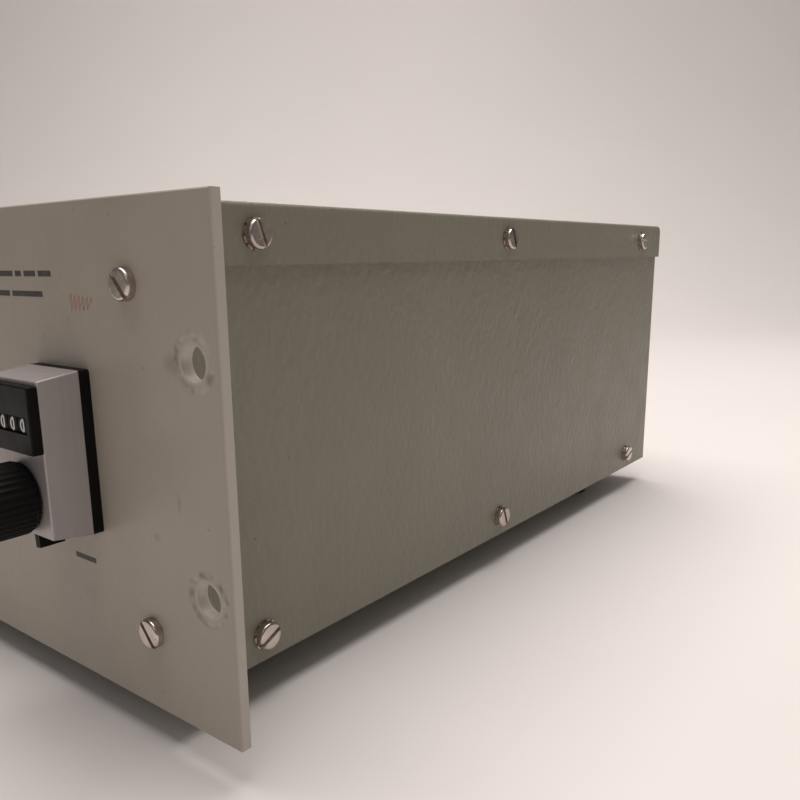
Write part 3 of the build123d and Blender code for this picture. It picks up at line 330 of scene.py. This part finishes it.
def rubber():
    """Grippy rubber with a chalky bloom."""
    paint = Paint("foot_rubber", roughness=0.8)
    bloom = paint.ramp(paint.noise(220.0, 5.0, 0.7), 0.45, 0.75, 0.0, 0.6)
    paint.set("Base Color", paint.mix(bloom, (0.018, 0.018, 0.018), (0.06, 0.058, 0.055)))
    paint.bump(paint.noise(1300.0, 4.0, 0.7), 0.08 * MM, 0.7)
    return paint.mat


def lens_glow():
    """Deep amber moulded lens."""
    paint = Paint("amber_lens", Specular_IOR_Level=0.6)
    paint.set("Transmission Weight", 0.35)
    swirl = paint.noise(160.0, 3.0)
    paint.set("Base Color", paint.mix(paint.ramp(swirl, 0.3, 0.7), (0.75, 0.22, 0.03), (0.62, 0.13, 0.02)))
    paint.set("Roughness", paint.ramp(swirl, 0.3, 0.7, 0.12, 0.22))
    return paint.mat


def clear_pane():
    """Clear meter window with a breath of dust."""
    paint = Paint("clear_pane")
    paint.set("Transmission Weight", 1.0)
    paint.set("IOR", 1.1)
    dust = paint.ramp(paint.noise(300.0, 5.0, 0.7), 0.4, 0.8, 0.03, 0.12)
    paint.set("Roughness", dust)
    paint.set("Base Color", paint.mix(dust, (0.97, 0.98, 0.97), (0.8, 0.8, 0.78)))
    return paint.mat


def card():
    """Cream scale plate, slightly yellowed in patches."""
    paint = Paint("scale_cream", roughness=0.6)
    tone = paint.ramp(paint.noise(40.0, 4.0, 0.6), 0.35, 0.7)
    paint.set("Base Color", paint.mix(tone, (0.80, 0.77, 0.68), (0.74, 0.70, 0.58)))
    paint.bump(paint.noise(2500.0), 0.01 * MM, 0.4)
    return paint.mat


def ink(name, colour, fade):
    """Printed ink, patchy where the roller starved."""
    paint = Paint(name, roughness=0.55)
    worn = paint.ramp(paint.noise(900.0, 4.0, 0.65), 0.45, 0.75, 0.0, fade)
    paint.set("Base Color", paint.mix(worn, colour, [0.5 * v + 0.15 for v in colour]))
    paint.bump(paint.noise(3000.0), 0.01 * MM, 0.3)
    return paint.mat


def pencil():
    """Red wax pencil: hardly covers the paint, in grains."""
    paint = Paint("red_pencil", roughness=0.6)
    grain = paint.ramp(paint.noise(2600.0, 3.0, 0.6), 0.42, 0.6)
    paint.set("Base Color", paint.mix(grain, (0.36, 0.24, 0.195), (0.36, 0.155, 0.115)))
    paint.bump(paint.noise(3000.0), 0.01 * MM, 0.3)
    return paint.mat


def metal(name, bright, dull, low, high):
    """Bare or plated metal with soft tarnish."""
    paint = Paint(name, metallic=1.0)
    paint.set("Base Color", paint.mix(paint.ramp(paint.noise(170.0, 4.0, 0.6), 0.35, 0.7), bright, dull))
    paint.set("Roughness", paint.ramp(paint.noise(330.0, 3.0), 0.3, 0.7, low, high))
    paint.bump(paint.noise(3000.0), 0.02 * MM, 0.4)
    return paint.mat


def laminated():
    """Edges of stacked transformer laminations under varnish."""
    paint = Paint("laminations", roughness=0.45, metallic=0.6)
    sheets = paint.noise(60.0, 2.0, 0.5, paint.stretched((0.2, 40.0, 0.2)))
    paint.set("Base Color", paint.mix(paint.ramp(sheets, 0.4, 0.6), (0.10, 0.08, 0.06), (0.2, 0.17, 0.14)))
    paint.bump(sheets, 0.1 * MM, 0.7)
    return paint.mat


MATERIALS = {
    "panel_paint": panel_paint(),
    "case_paint": case_paint(),
    "plated_steel": plated(),
    "zinc_sheet": zinc(),
    "satin_silver": satin_silver(),
    "black_plastic": moulded("black_phenolic", (0.005, 0.005, 0.005), 0.36, 0.5),
    "gloss_black": moulded("polished_phenolic", (0.006, 0.006, 0.006), 0.14, 0.28, 600.0, 0.02 * MM),
    "digit_black": moulded("digit_black", (0.004, 0.004, 0.004), 0.45, 0.6),
    "foot_rubber": rubber(),
    "lens_amber": lens_glow(),
    "clear_pane": clear_pane(),
    "scale_card": card(),
    "brass": metal("brass_worn", (0.78, 0.60, 0.30), (0.52, 0.38, 0.18), 0.22, 0.42),
    "phenolic_board": moulded("brown_phenolic", (0.26, 0.14, 0.055), 0.4, 0.6),
    "components": moulded("dipped_components", (0.20, 0.10, 0.05), 0.25, 0.4),
    "iron_core": laminated(),
    "winding": moulded("winding_wrap", (0.42, 0.27, 0.07), 0.3, 0.5),
    "can_aluminium": metal("can_aluminium", (0.80, 0.80, 0.79), (0.66, 0.66, 0.65), 0.25, 0.4),
    "sink_black": moulded("black_anodised", (0.02, 0.02, 0.02), 0.4, 0.5),
    "glass_fuse": metal("fuse_caps", (0.8, 0.78, 0.74), (0.6, 0.58, 0.54), 0.2, 0.35),
    "loom": moulded("wire_lacing", (0.03, 0.03, 0.035), 0.5, 0.7),
}
for entry in frame["record"]["subparts"]:
    node_object = frame["nodes"][entry["node"]]
    node_object.data.materials.clear()
    node_object.data.materials.append(MATERIALS[entry["material_slot"]])

WHITE_INK = ink("white_ink", (0.78, 0.78, 0.74), 0.15)
DARK_INK = ink("dark_ink", (0.035, 0.033, 0.032), 0.3)
RED_PENCIL = pencil()
SPUN_ALUMINIUM = metal("spun_aluminium", (0.72, 0.71, 0.70), (0.55, 0.54, 0.53), 0.22, 0.36)


# ---- Mesh building -------------------------------------------------------------------------------
def piece(name, bm, body, look, smooth=0):
    """Turn a bmesh into a piece that rides on a body, smooth up to an angle in degrees."""
    bmesh.ops.recalc_face_normals(bm, faces=bm.faces)
    data = bpy.data.meshes.new(name)
    bm.to_mesh(data)
    bm.free()
    made = bpy.data.objects.new(name, data)
    bpy.context.scene.collection.objects.link(made)
    data.materials.append(look)
    if smooth:
        data.shade_smooth()
        data.set_sharp_from_angle(angle=radians(smooth))
    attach(made, body)
    return made


def lathe(bm, profile, x, z, segments, wave=None):
    """Revolve (radius, y) points about the line along Y through (x, z); wave(angle, radius) ripples it."""
    rings = []
    for radius, y in profile:
        if radius < 1e-7:
            rings.append([bm.verts.new((x, y, z))])
            continue
        ring = []
        for step in range(segments):
            angle = 2 * pi * step / segments
            r = wave(angle, radius) if wave else radius
            ring.append(bm.verts.new((x + r * cos(angle), y, z + r * sin(angle))))
        rings.append(ring)
    for first, second in zip(rings, rings[1:]):
        for step in range(segments):
            after = (step + 1) % segments
            corners = [first[step % len(first)], first[after % len(first)]]
            corners += [second[after % len(second)], second[step % len(second)]]
            unique = list(dict.fromkeys(corners))
            if len(unique) > 2:
                bm.faces.new(unique)


def slab(bm, low, high):
    """A block between two corners."""
    low, high = Vector(low), Vector(high)
    size = Matrix.Diagonal((*(high - low), 1.0))
    bmesh.ops.create_cube(bm, size=1.0, matrix=Matrix.Translation((low + high) / 2) @ size)


def outline(start, points):
    """(radius, y) points in metres, from (radius, depth) pairs in mm behind y = start."""
    return [(radius * MM, start + depth * MM) for radius, depth in points]


def fluted(rim, count, depth, reach, sharpness=0.5):
    """A ripple for lathe: flutes cut into the radii within reach of the rim."""
    def wave(angle, radius):
        fade = max(0.0, 1.0 - abs(radius - rim) / reach)
        return radius - fade * depth * (0.5 - 0.5 * cos(count * angle)) ** sharpness
    return wave


GLYPH_THICK = 0.04 * MM
CAPITAL_SHARE = 0.72        # a numeral's height as a share of the font size
GLYPH_BOLD = 0.022          # how far outlines are pushed out, as a share of the font size
INK_THICK = 0.05 * MM
INK_SUNK = 0.01 * MM        # how far a mark reaches into what it is printed on
glyph_store = {}


def glyph(text, height):
    """Vertices and faces of a centred numeral, with u to the right, v up and w its thickness."""
    key = (text, height)
    if key not in glyph_store:
        curve = bpy.data.curves.new("glyph", "FONT")
        curve.body = text
        curve.size = height / CAPITAL_SHARE
        curve.extrude = GLYPH_THICK / 2
        curve.offset = GLYPH_BOLD * curve.size
        curve.align_x = "CENTER"
        curve.resolution_u = 4
        holder = bpy.data.objects.new("glyph", curve)
        bpy.context.scene.collection.objects.link(holder)
        bpy.context.view_layer.update()
        data = bpy.data.meshes.new_from_object(holder.evaluated_get(bpy.context.evaluated_depsgraph_get()))
        points = [tuple(v.co) for v in data.vertices]
        faces = [tuple(p.vertices) for p in data.polygons]
        bpy.data.objects.remove(holder)
        bpy.data.curves.remove(curve)
        bpy.data.meshes.remove(data)
        glyph_store[key] = (points, faces)
    return glyph_store[key]


def stamp(bm, shape, place):
    """Add a glyph, each point moved by place(u, v, w)."""
    points, faces = shape
    made = [bm.verts.new(place(*point)) for point in points]
    for face in faces:
        bm.faces.new([made[index] for index in face])
    bmesh.ops.remove_doubles(bm, verts=made, dist=1e-7)


def sliced(shape, height, count=8):
    """A glyph cut across at even heights, so that its straight strokes can bend round a wheel."""
    bm = bmesh.new()
    points = [bm.verts.new(point) for point in shape[0]]
    for face in shape[1]:
        bm.faces.new([points[index] for index in face])
    for step in range(1, count):
        everything = bm.verts[:] + bm.edges[:] + bm.faces[:]
        level = (0, height * step / count, 0)
        bmesh.ops.bisect_plane(bm, geom=everything, plane_co=level, plane_no=(0, 1, 0), dist=1e-7)
    bm.verts.index_update()
    cut = [tuple(v.co) for v in bm.verts], [tuple(v.index for v in face.verts) for face in bm.faces]
    bm.free()
    return cut


def facing_front(x, z, y):
    """A place function for marks that lie on a plane across Y, raised towards the front."""
    return lambda u, v, w: (x + u, y - w, z + v)


def tick(bm, x, z, y, angle, near, far, width, high=INK_THICK):
    """A radial mark on a plane across Y; the angle is clockwise from straight up."""
    along = Vector((sin(angle), 0, cos(angle)))
    across = Vector((cos(angle), 0, -sin(angle))) * width / 2
    corners = []
    for lift in (INK_SUNK, -high):
        for radius in (near, far):
            for side in (-1, 1):
                corners.append(bm.verts.new(Vector((x, y + lift, z)) + along * radius + across * side))
    for face in ((0, 1, 3, 2), (4, 6, 7, 5), (0, 2, 6, 4), (1, 5, 7, 3), (0, 4, 5, 1), (2, 3, 7, 6)):
        bm.faces.new([corners[index] for index in face])


def ribbon(bm, points, y, width, high=0.04 * MM):
    """A flat stroke through (x, z) points on a plane across Y, raised towards the front."""
    rows = []
    for index, (x, z) in enumerate(points):
        before, after = points[max(index - 1, 0)], points[min(index + 1, len(points) - 1)]
        along = Vector((after[0] - before[0], 0, after[1] - before[1])).normalized()
        across = Vector((along.z, 0, -along.x)) * width / 2
        centre = Vector((x, y, z))
        back, front = Vector((0, INK_SUNK, 0)), Vector((0, -high, 0))
        corners = (-across + back, -across + front, across + front, across + back)
        rows.append([bm.verts.new(centre + corner) for corner in corners])
    for first, second in zip(rows, rows[1:]):
        for step in range(4):
            bm.faces.new((first[step], first[step - 1], second[step - 1], second[step]))
    bm.faces.new(rows[0])
    bm.faces.new(rows[-1])


def around(x, z, angle, radius):
    """The (x, z) at a radius from a point, at an angle clockwise from straight up."""
    return (x + radius * sin(angle), z + radius * cos(angle))


# ---- Ten-turn dial -------------------------------------------------------------------------------
DIGIT_HIGH = 3.5 * MM
DIGIT_NARROWED = 0.86


def digit_wheels():
    """White numerals round each counter wheel, 0 facing the window at rest."""
    for order in range(1, 5):
        low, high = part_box(f"dial_wheel_{order}")
        centre = (low + high) / 2
        radius = (high.z - low.z) / 2
        bm = bmesh.new()
        for number in range(10):
            shape = sliced(glyph(str(number), DIGIT_HIGH), DIGIT_HIGH)
            start = 2 * pi * number / 10

            def wrapped(u, v, w, start=start):
                angle = start + (v - DIGIT_HIGH / 2) / radius
                reach = radius + 0.03 * MM + w
                return (
                    centre.x + DIGIT_NARROWED * u,
                    centre.y - reach * cos(angle),
                    centre.z + reach * sin(angle),
                )

            stamp(bm, shape, wrapped)
        piece(f"wheel_{order}_numerals", bm, f"wheel_{order}", WHITE_INK)


def dial_knob():
    """The ten-turn knob: fine flutes, a rounded front rim and a dished face."""
    low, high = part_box("dial_knob")
    centre = middle("dial_knob")
    radius = (high.z - low.z) / 2
    front, back = low.y, high.y
    dish, rim_round, rim_wide = 0.5 * MM, 1.35 * MM, 1.6 * MM
    profile = [(0, front + dish), (radius * 0.62, front + dish), (radius * 0.68, front)]
    for step in range(7):
        turned = radians(15 * step)
        profile.append((radius - rim_wide + rim_round * sin(turned), front + rim_round * (1 - cos(turned))))
    profile += [(radius - 0.02 * MM, front + 3 * MM), (radius - 0.02 * MM, back - 1.4 * MM)]
    profile += [(radius - 0.5 * MM, back - 0.9 * MM), (radius - 0.55 * MM, back - 0.1 * MM)]
    profile += [(radius * 0.5, back), (0, back)]
    bm = bmesh.new()
    lathe(bm, profile, centre.x, centre.z, 216, fluted(radius - 0.25 * MM, 36, 0.36 * MM, 0.6 * MM))
    look = MATERIALS["black_plastic"]
    knob = piece("ten_turn_knob_body", bm, "ten_turn_knob", look, 40)
    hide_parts("dial_knob")


digit_wheels()
dial_knob()


# ---- Voltage switches ----------------------------------------------------------------------------
SWITCH_STEP = radians(30)
SWITCH_START = radians(-150)        # where position 0 is, clockwise from straight up
GRIP_R = 10.4                       # mm
INDEX_WIDE = 1.2 * MM


def voltage_knob(side):
    """A skirted knob: fluted grip, spun aluminium cap, white index line down the skirt."""
    node, body = f"voltage_knob_{side}", f"voltage_switch_{side}"
    low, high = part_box(node)
    x, z = (low.x + high.x) / 2, (low.z + high.z) / 2
    front, back = low.y, high.y
    skirt = (high.x - low.x) / 2 / MM
    shelf = back - 5.1 * MM

    profile = outline(front, [(0, 0.6), (8.0, 0.6), (8.15, 0.1), (8.4, 0), (9.3, 0.1), (10.0, 0.6)])
    profile += outline(front, [(GRIP_R - 0.02, 1.5)])
    profile += outline(shelf, [(GRIP_R, -1.2), (GRIP_R + 0.5, -0.35), (skirt - 1.7, 0)])
    profile += outline(shelf, [(skirt - 0.5, 1.1), (skirt - 0.05, 2.2)])
    profile += outline(back, [(skirt - 0.02, -0.4), (skirt - 0.4, 0), (0, 0)])
    bm = bmesh.new()
    lathe(bm, profile, x, z, 240, fluted(GRIP_R * MM, 30, 0.55 * MM, 0.4 * MM, 0.6))
    knob = piece(f"{node}_grip", bm, body, MATERIALS["gloss_black"], 38)
    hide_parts(node)

    bm = bmesh.new()
    rings = outline(front, [(0, 0.7), (7.9, 0.7), (7.9, 0.32), (7.7, 0.2), (6.6, 0.2)])
    rings += outline(front, [(6.5, 0.28), (6.3, 0.28), (6.2, 0.2), (0, 0.25)])
    lathe(bm, rings, x, z, 72)
    piece(f"{node}_cap", bm, body, SPUN_ALUMINIUM, 25)

    bm = bmesh.new()
    # The line in mm: where it starts and ends from the axis, the y that it rises from, its height
    for near, far, y, rise in (
        (11.3, skirt - 1.8, shelf + 0.02 * MM, 0.1),
        (skirt - 1.9, skirt - 0.35, shelf + 1.55 * MM, 1.5),
        (8.6, 9.7, front + 0.3 * MM, 0.35),
    ):
        tick(bm, x, z, y, SWITCH_START, near * MM, far * MM, INDEX_WIDE, rise * MM)
    piece(f"{node}_index", bm, body, WHITE_INK)


voltage_knob("left")
voltage_knob("right")


# ---- Pilot lamps and meter -----------------------------------------------------------------------
def lamp_jewels():
    """Fluted amber caps with a cut dome, in place of the plain lenses."""
    front = lens_low.y
    # Shares of the lens radius, with mm behind its tip
    dome = ((0.30, 0.25), (0.58, 1.0), (0.80, 2.2), (0.92, 3.7))
    collar = ((0.93, 8.3), (0.99, 8.5), (0.99, 9.9), (0.8, 10.0))
    profile = [(0, front)] + [(LENS_R * share, front + depth * MM) for share, depth in dome + collar]
    profile += [(LENS_R * 0.8, lens_high.y), (0, lens_high.y)]
    bm = bmesh.new()
    for x in LAMP_XS:
        lathe(bm, profile, x, LAMP_Z, 128, fluted(LENS_R * 0.93, 16, 0.3 * MM, 0.9 * MM))
    jewels = piece("lamp_jewels", bm, "case", MATERIALS["lens_amber"], 30)
    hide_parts("lamp_lenses")


METER_START = radians(-45)
METER_SWEEP = radians(90)
METER_ARC_R = 37.5 * MM
METER_STEPS = 50
METER_DIGIT_HIGH = 3.4 * MM


def meter_marks():
    """Arc, divisions and numerals of the voltmeter, swept by the pointer."""
    card_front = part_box("meter_scale")[0].y
    pivot = joint_place("pointer_swing")
    bm = bmesh.new()
    angles = [METER_START + METER_SWEEP * n / METER_STEPS for n in range(METER_STEPS + 1)]
    arc = [around(pivot.x, pivot.z, angle, METER_ARC_R) for angle in angles]
    ribbon(bm, arc, card_front, 0.35 * MM)
    for n, angle in enumerate(angles):
        long, wide = (4.2, 0.5) if n % 10 == 0 else (3.2, 0.32) if n % 5 == 0 else (2.0, 0.2)
        end = METER_ARC_R + long * MM
        tick(bm, pivot.x, pivot.z, card_front, angle, METER_ARC_R, end, wide * MM)
    for n in range(6):
        x, z = around(pivot.x, pivot.z, METER_START + METER_SWEEP * n / 5, METER_ARC_R + 7.0 * MM)
        place = facing_front(x, z - METER_DIGIT_HIGH / 2, card_front)
        stamp(bm, glyph(str(10 * n), METER_DIGIT_HIGH), place)
    bar_low = Vector((pivot.x - 4.5 * MM, card_front - 0.04 * MM, pivot.z + 18 * MM))
    slab(bm, bar_low, bar_low + Vector((9.0, 0.04, 1.6)) * MM)
    piece("meter_marks", bm, "case", DARK_INK)


lamp_jewels()
meter_marks()


# ---- Printed marks on the panel ------------------------------------------------------------------
BAR_HIGH = 1.5 * MM
BAR_GAP = 1.5               # mm between the bars of a line
SCALE_DIGIT_HIGH = 3.0 * MM


def line_long(words):
    """The length of a line of bars, in metres."""
    return (sum(words) + BAR_GAP * (len(words) - 1)) * MM


def bars(bm, left, z, words, face=PANEL_Y, side=-1):
    """Plain bars, their widths in mm, from x = left, raised from a face to the front (-1) or rear (1)."""
    near, far = sorted((face - side * INK_SUNK, face + side * INK_THICK))
    for width in words:
        slab(bm, (left, near, z - BAR_HIGH / 2), (left + width * MM, far, z + BAR_HIGH / 2))
        left += (width + BAR_GAP) * MM


def centred_bars(bm, x, z, words, face=PANEL_Y, side=-1):
    """A line of plain bars centred on x."""
    bars(bm, x - line_long(words) / 2, z, words, face, side)


def switch_scales(bm):
    """Eleven positions round each voltage switch: a tick and a numeral each."""
    for side in ("left", "right"):
        place = joint_place(f"voltage_switch_{side}_turn")
        for n in range(11):
            angle = SWITCH_START + n * SWITCH_STEP
            tick(bm, place.x, place.z, PANEL_Y, angle, 17.0 * MM, 19.6 * MM, 0.6 * MM)
            x, z = around(place.x, place.z, angle, 23.2 * MM)
            spot = facing_front(x, z - SCALE_DIGIT_HIGH / 2, PANEL_Y)
            stamp(bm, glyph(str(n), SCALE_DIGIT_HIGH), spot)
        centred_bars(bm, place.x, place.z + 31.0 * MM, (9.0, 6.5))


def captions():
    """Plain bars in place of the panel's printed captions."""
    bm = bmesh.new()
    switch_scales(bm)
    for name in ("power_toggle", "output_toggle"):
        place = joint_place(name)
        centred_bars(bm, place.x, place.z + 15.5 * MM, (5.0,))
        centred_bars(bm, place.x, place.z - 16.5 * MM, (6.5,))
    for x in LAMP_XS:
        centred_bars(bm, x, LAMP_Z + 13.0 * MM, (10.0,))
    dial_x = middle("dial_housing").x
    # Lines by the dial: mm from its middle to their right end, mm up the panel, bar widths
    for right, up, words in (
        (-1.2, 114.6, (15.5, 3.2, 6.0, 6.4)),
        (-6.4, 109.2, (4.0, 7.6, 16.0)),
        (7.2, 36.4, (10.1,)),
    ):
        bars(bm, dial_x + right * MM - line_long(words), panel_low.z + up * MM, words)
    piece("panel_captions", bm, "case", DARK_INK)


SCRAWL_LONG = 10.2          # mm
SCRAWL_ZIGZAGS = 5.5


def pencil_scribble():
    """A faint red pencil scrawl beside the captions: one slanting zigzag, no letters or figures."""
    left, low = panel_high.x - 57.6 * MM, panel_low.z + 104.4 * MM
    bm = bmesh.new()
    points = []
    for n in range(61):
        t = n / 60
        sweep = 2 / pi * asin(sin(2 * pi * SCRAWL_ZIGZAGS * t))
        along = SCRAWL_LONG * t + 0.7 * sweep
        up = 2.9 + (2.6 - 1.1 * t) * sweep
        points.append((left + along * MM, low + up * MM))
    ribbon(bm, points, PANEL_Y, 0.42 * MM, 0.02 * MM)
    piece("pencil_scribble", bm, "case", RED_PENCIL)


def rear_captions():
    """Plain bars in place of the printing beside the rear fittings."""
    bm = bmesh.new()
    for mount in ("output_1", "output_2", "ground_stud"):
        x, _, z = MOUNTS[mount]["pos_m"]
        centred_bars(bm, x, z + 14.0 * MM, (9.0,), REAR_Y, 1)
        centred_bars(bm, x, z - 14.5 * MM, (4.0, 5.5), REAR_Y, 1)
    fuse = middle("fuse_holder")
    centred_bars(bm, fuse.x, fuse.z + 14.0 * MM, (7.0,), REAR_Y, 1)
    centred_bars(bm, fuse.x, fuse.z - 14.0 * MM, (3.0, 6.0), REAR_Y, 1)
    inlet = middle("mains_inlet")
    centred_bars(bm, inlet.x, inlet.z + 19.0 * MM, (6.0, 8.0, 5.0), REAR_Y, 1)
    piece("rear_captions", bm, "case", DARK_INK)


captions()
pencil_scribble()
rear_captions()


# ---- Stage: floor, backdrop, lights and camera ---------------------------------------------------
CAMERA_FROM_PANEL = Vector((134.9, -112.0, 117.6)) * MM     # from the panel's lower right front corner
CAMERA_DIRECTION = Vector((-0.609, 0.7615, -0.2219)).normalized()
CAMERA_ROLL = radians(-0.77)
LENS_MM = 35.68
LENS_SHIFT = (0.0219, 0.0473)


def camera():
    """The photographer's place: close to the right end, looking along the side."""
    data = bpy.data.cameras.new("camera")
    data.lens = LENS_MM
    data.sensor_width = 36.0
    data.shift_x, data.shift_y = LENS_SHIFT
    data.clip_start = 0.01
    data.clip_end = 30.0
    made = bpy.data.objects.new("camera", data)
    bpy.context.scene.collection.objects.link(made)
    corner = Vector((panel_high.x, panel_low.y, panel_low.z))
    turned = CAMERA_DIRECTION.to_track_quat("-Z", "Y").to_matrix().to_4x4()
    roll = Matrix.Rotation(CAMERA_ROLL, 4, "Z")
    made.matrix_world = Matrix.Translation(corner + CAMERA_FROM_PANEL) @ turned @ roll
    bpy.context.scene.camera = made


def backdrop():
    """A seamless sweep of pale paper: floor, curve and wall."""
    paint = Paint("pale_paper", roughness=0.85)
    tone = paint.ramp(paint.noise(1.2, 4.0, 0.6), 0.35, 0.7)
    paint.set("Base Color", paint.mix(tone, (0.82, 0.785, 0.768), (0.78, 0.745, 0.728)))
    paint.bump(paint.noise(700.0, 4.0, 0.7), 0.04 * MM, 0.4)
    heading = Vector((CAMERA_DIRECTION.x, CAMERA_DIRECTION.y, 0)).normalized()
    across = Vector((heading.y, -heading.x, 0))
    wall_at, curve, reach, tall = 1.5, 0.7, 4.2, 3.4
    profile = [(-reach, 0.0)]
    for step in range(19):
        turned = radians(5 * step)
        profile.append((wall_at - curve + curve * sin(turned), curve * (1 - cos(turned))))
    profile.append((wall_at, tall))
    bm = bmesh.new()
    rows = [
        [bm.verts.new(heading * along + across * side * reach + Vector((0, 0, up))) for side in (-1, 1)]
        for along, up in profile
    ]
    for first, second in zip(rows, rows[1:]):
        bm.faces.new((first[0], first[1], second[1], second[0]))
    data = bpy.data.meshes.new("backdrop")
    bm.to_mesh(data)
    bm.free()
    data.shade_smooth()
    made = bpy.data.objects.new("backdrop", data)
    data.materials.append(paint.mat)
    bpy.context.scene.collection.objects.link(made)


def area_light(name, place, target, size, watts, colour, spread=180.0):
    """A soft square light aimed at a point, its spread in degrees."""
    data = bpy.data.lights.new(name, "AREA")
    data.size = size
    data.spread = radians(spread)
    data.energy = watts
    data.color = colour
    made = bpy.data.objects.new(name, data)
    bpy.context.scene.collection.objects.link(made)
    aim = (Vector(target) - Vector(place)).to_track_quat("-Z", "Y").to_matrix().to_4x4()
    made.matrix_world = Matrix.Translation(place) @ aim


def room_light():
    """Dim warm light from all round."""
    world = bpy.data.worlds.new("room")
    bpy.context.scene.world = world
    world.use_nodes = True
    background = world.node_tree.nodes["Background"]
    background.inputs["Color"].default_value = (0.86, 0.83, 0.80, 1.0)
    background.inputs["Strength"].default_value = 0.19


camera()
backdrop()
area_light("overhead", (-0.02, 0.16, 1.7), (0.16, 0.15, 0.0), 1.7, 27.5, (1.0, 0.94, 0.905), 150.0)
area_light("fill", (0.9, -1.5, 1.5), (0.2, 0.0, 0.05), 1.4, 2.6, (1.0, 0.94, 0.9))
room_light()
bpy.context.scene.view_settings.view_transform = "Standard"
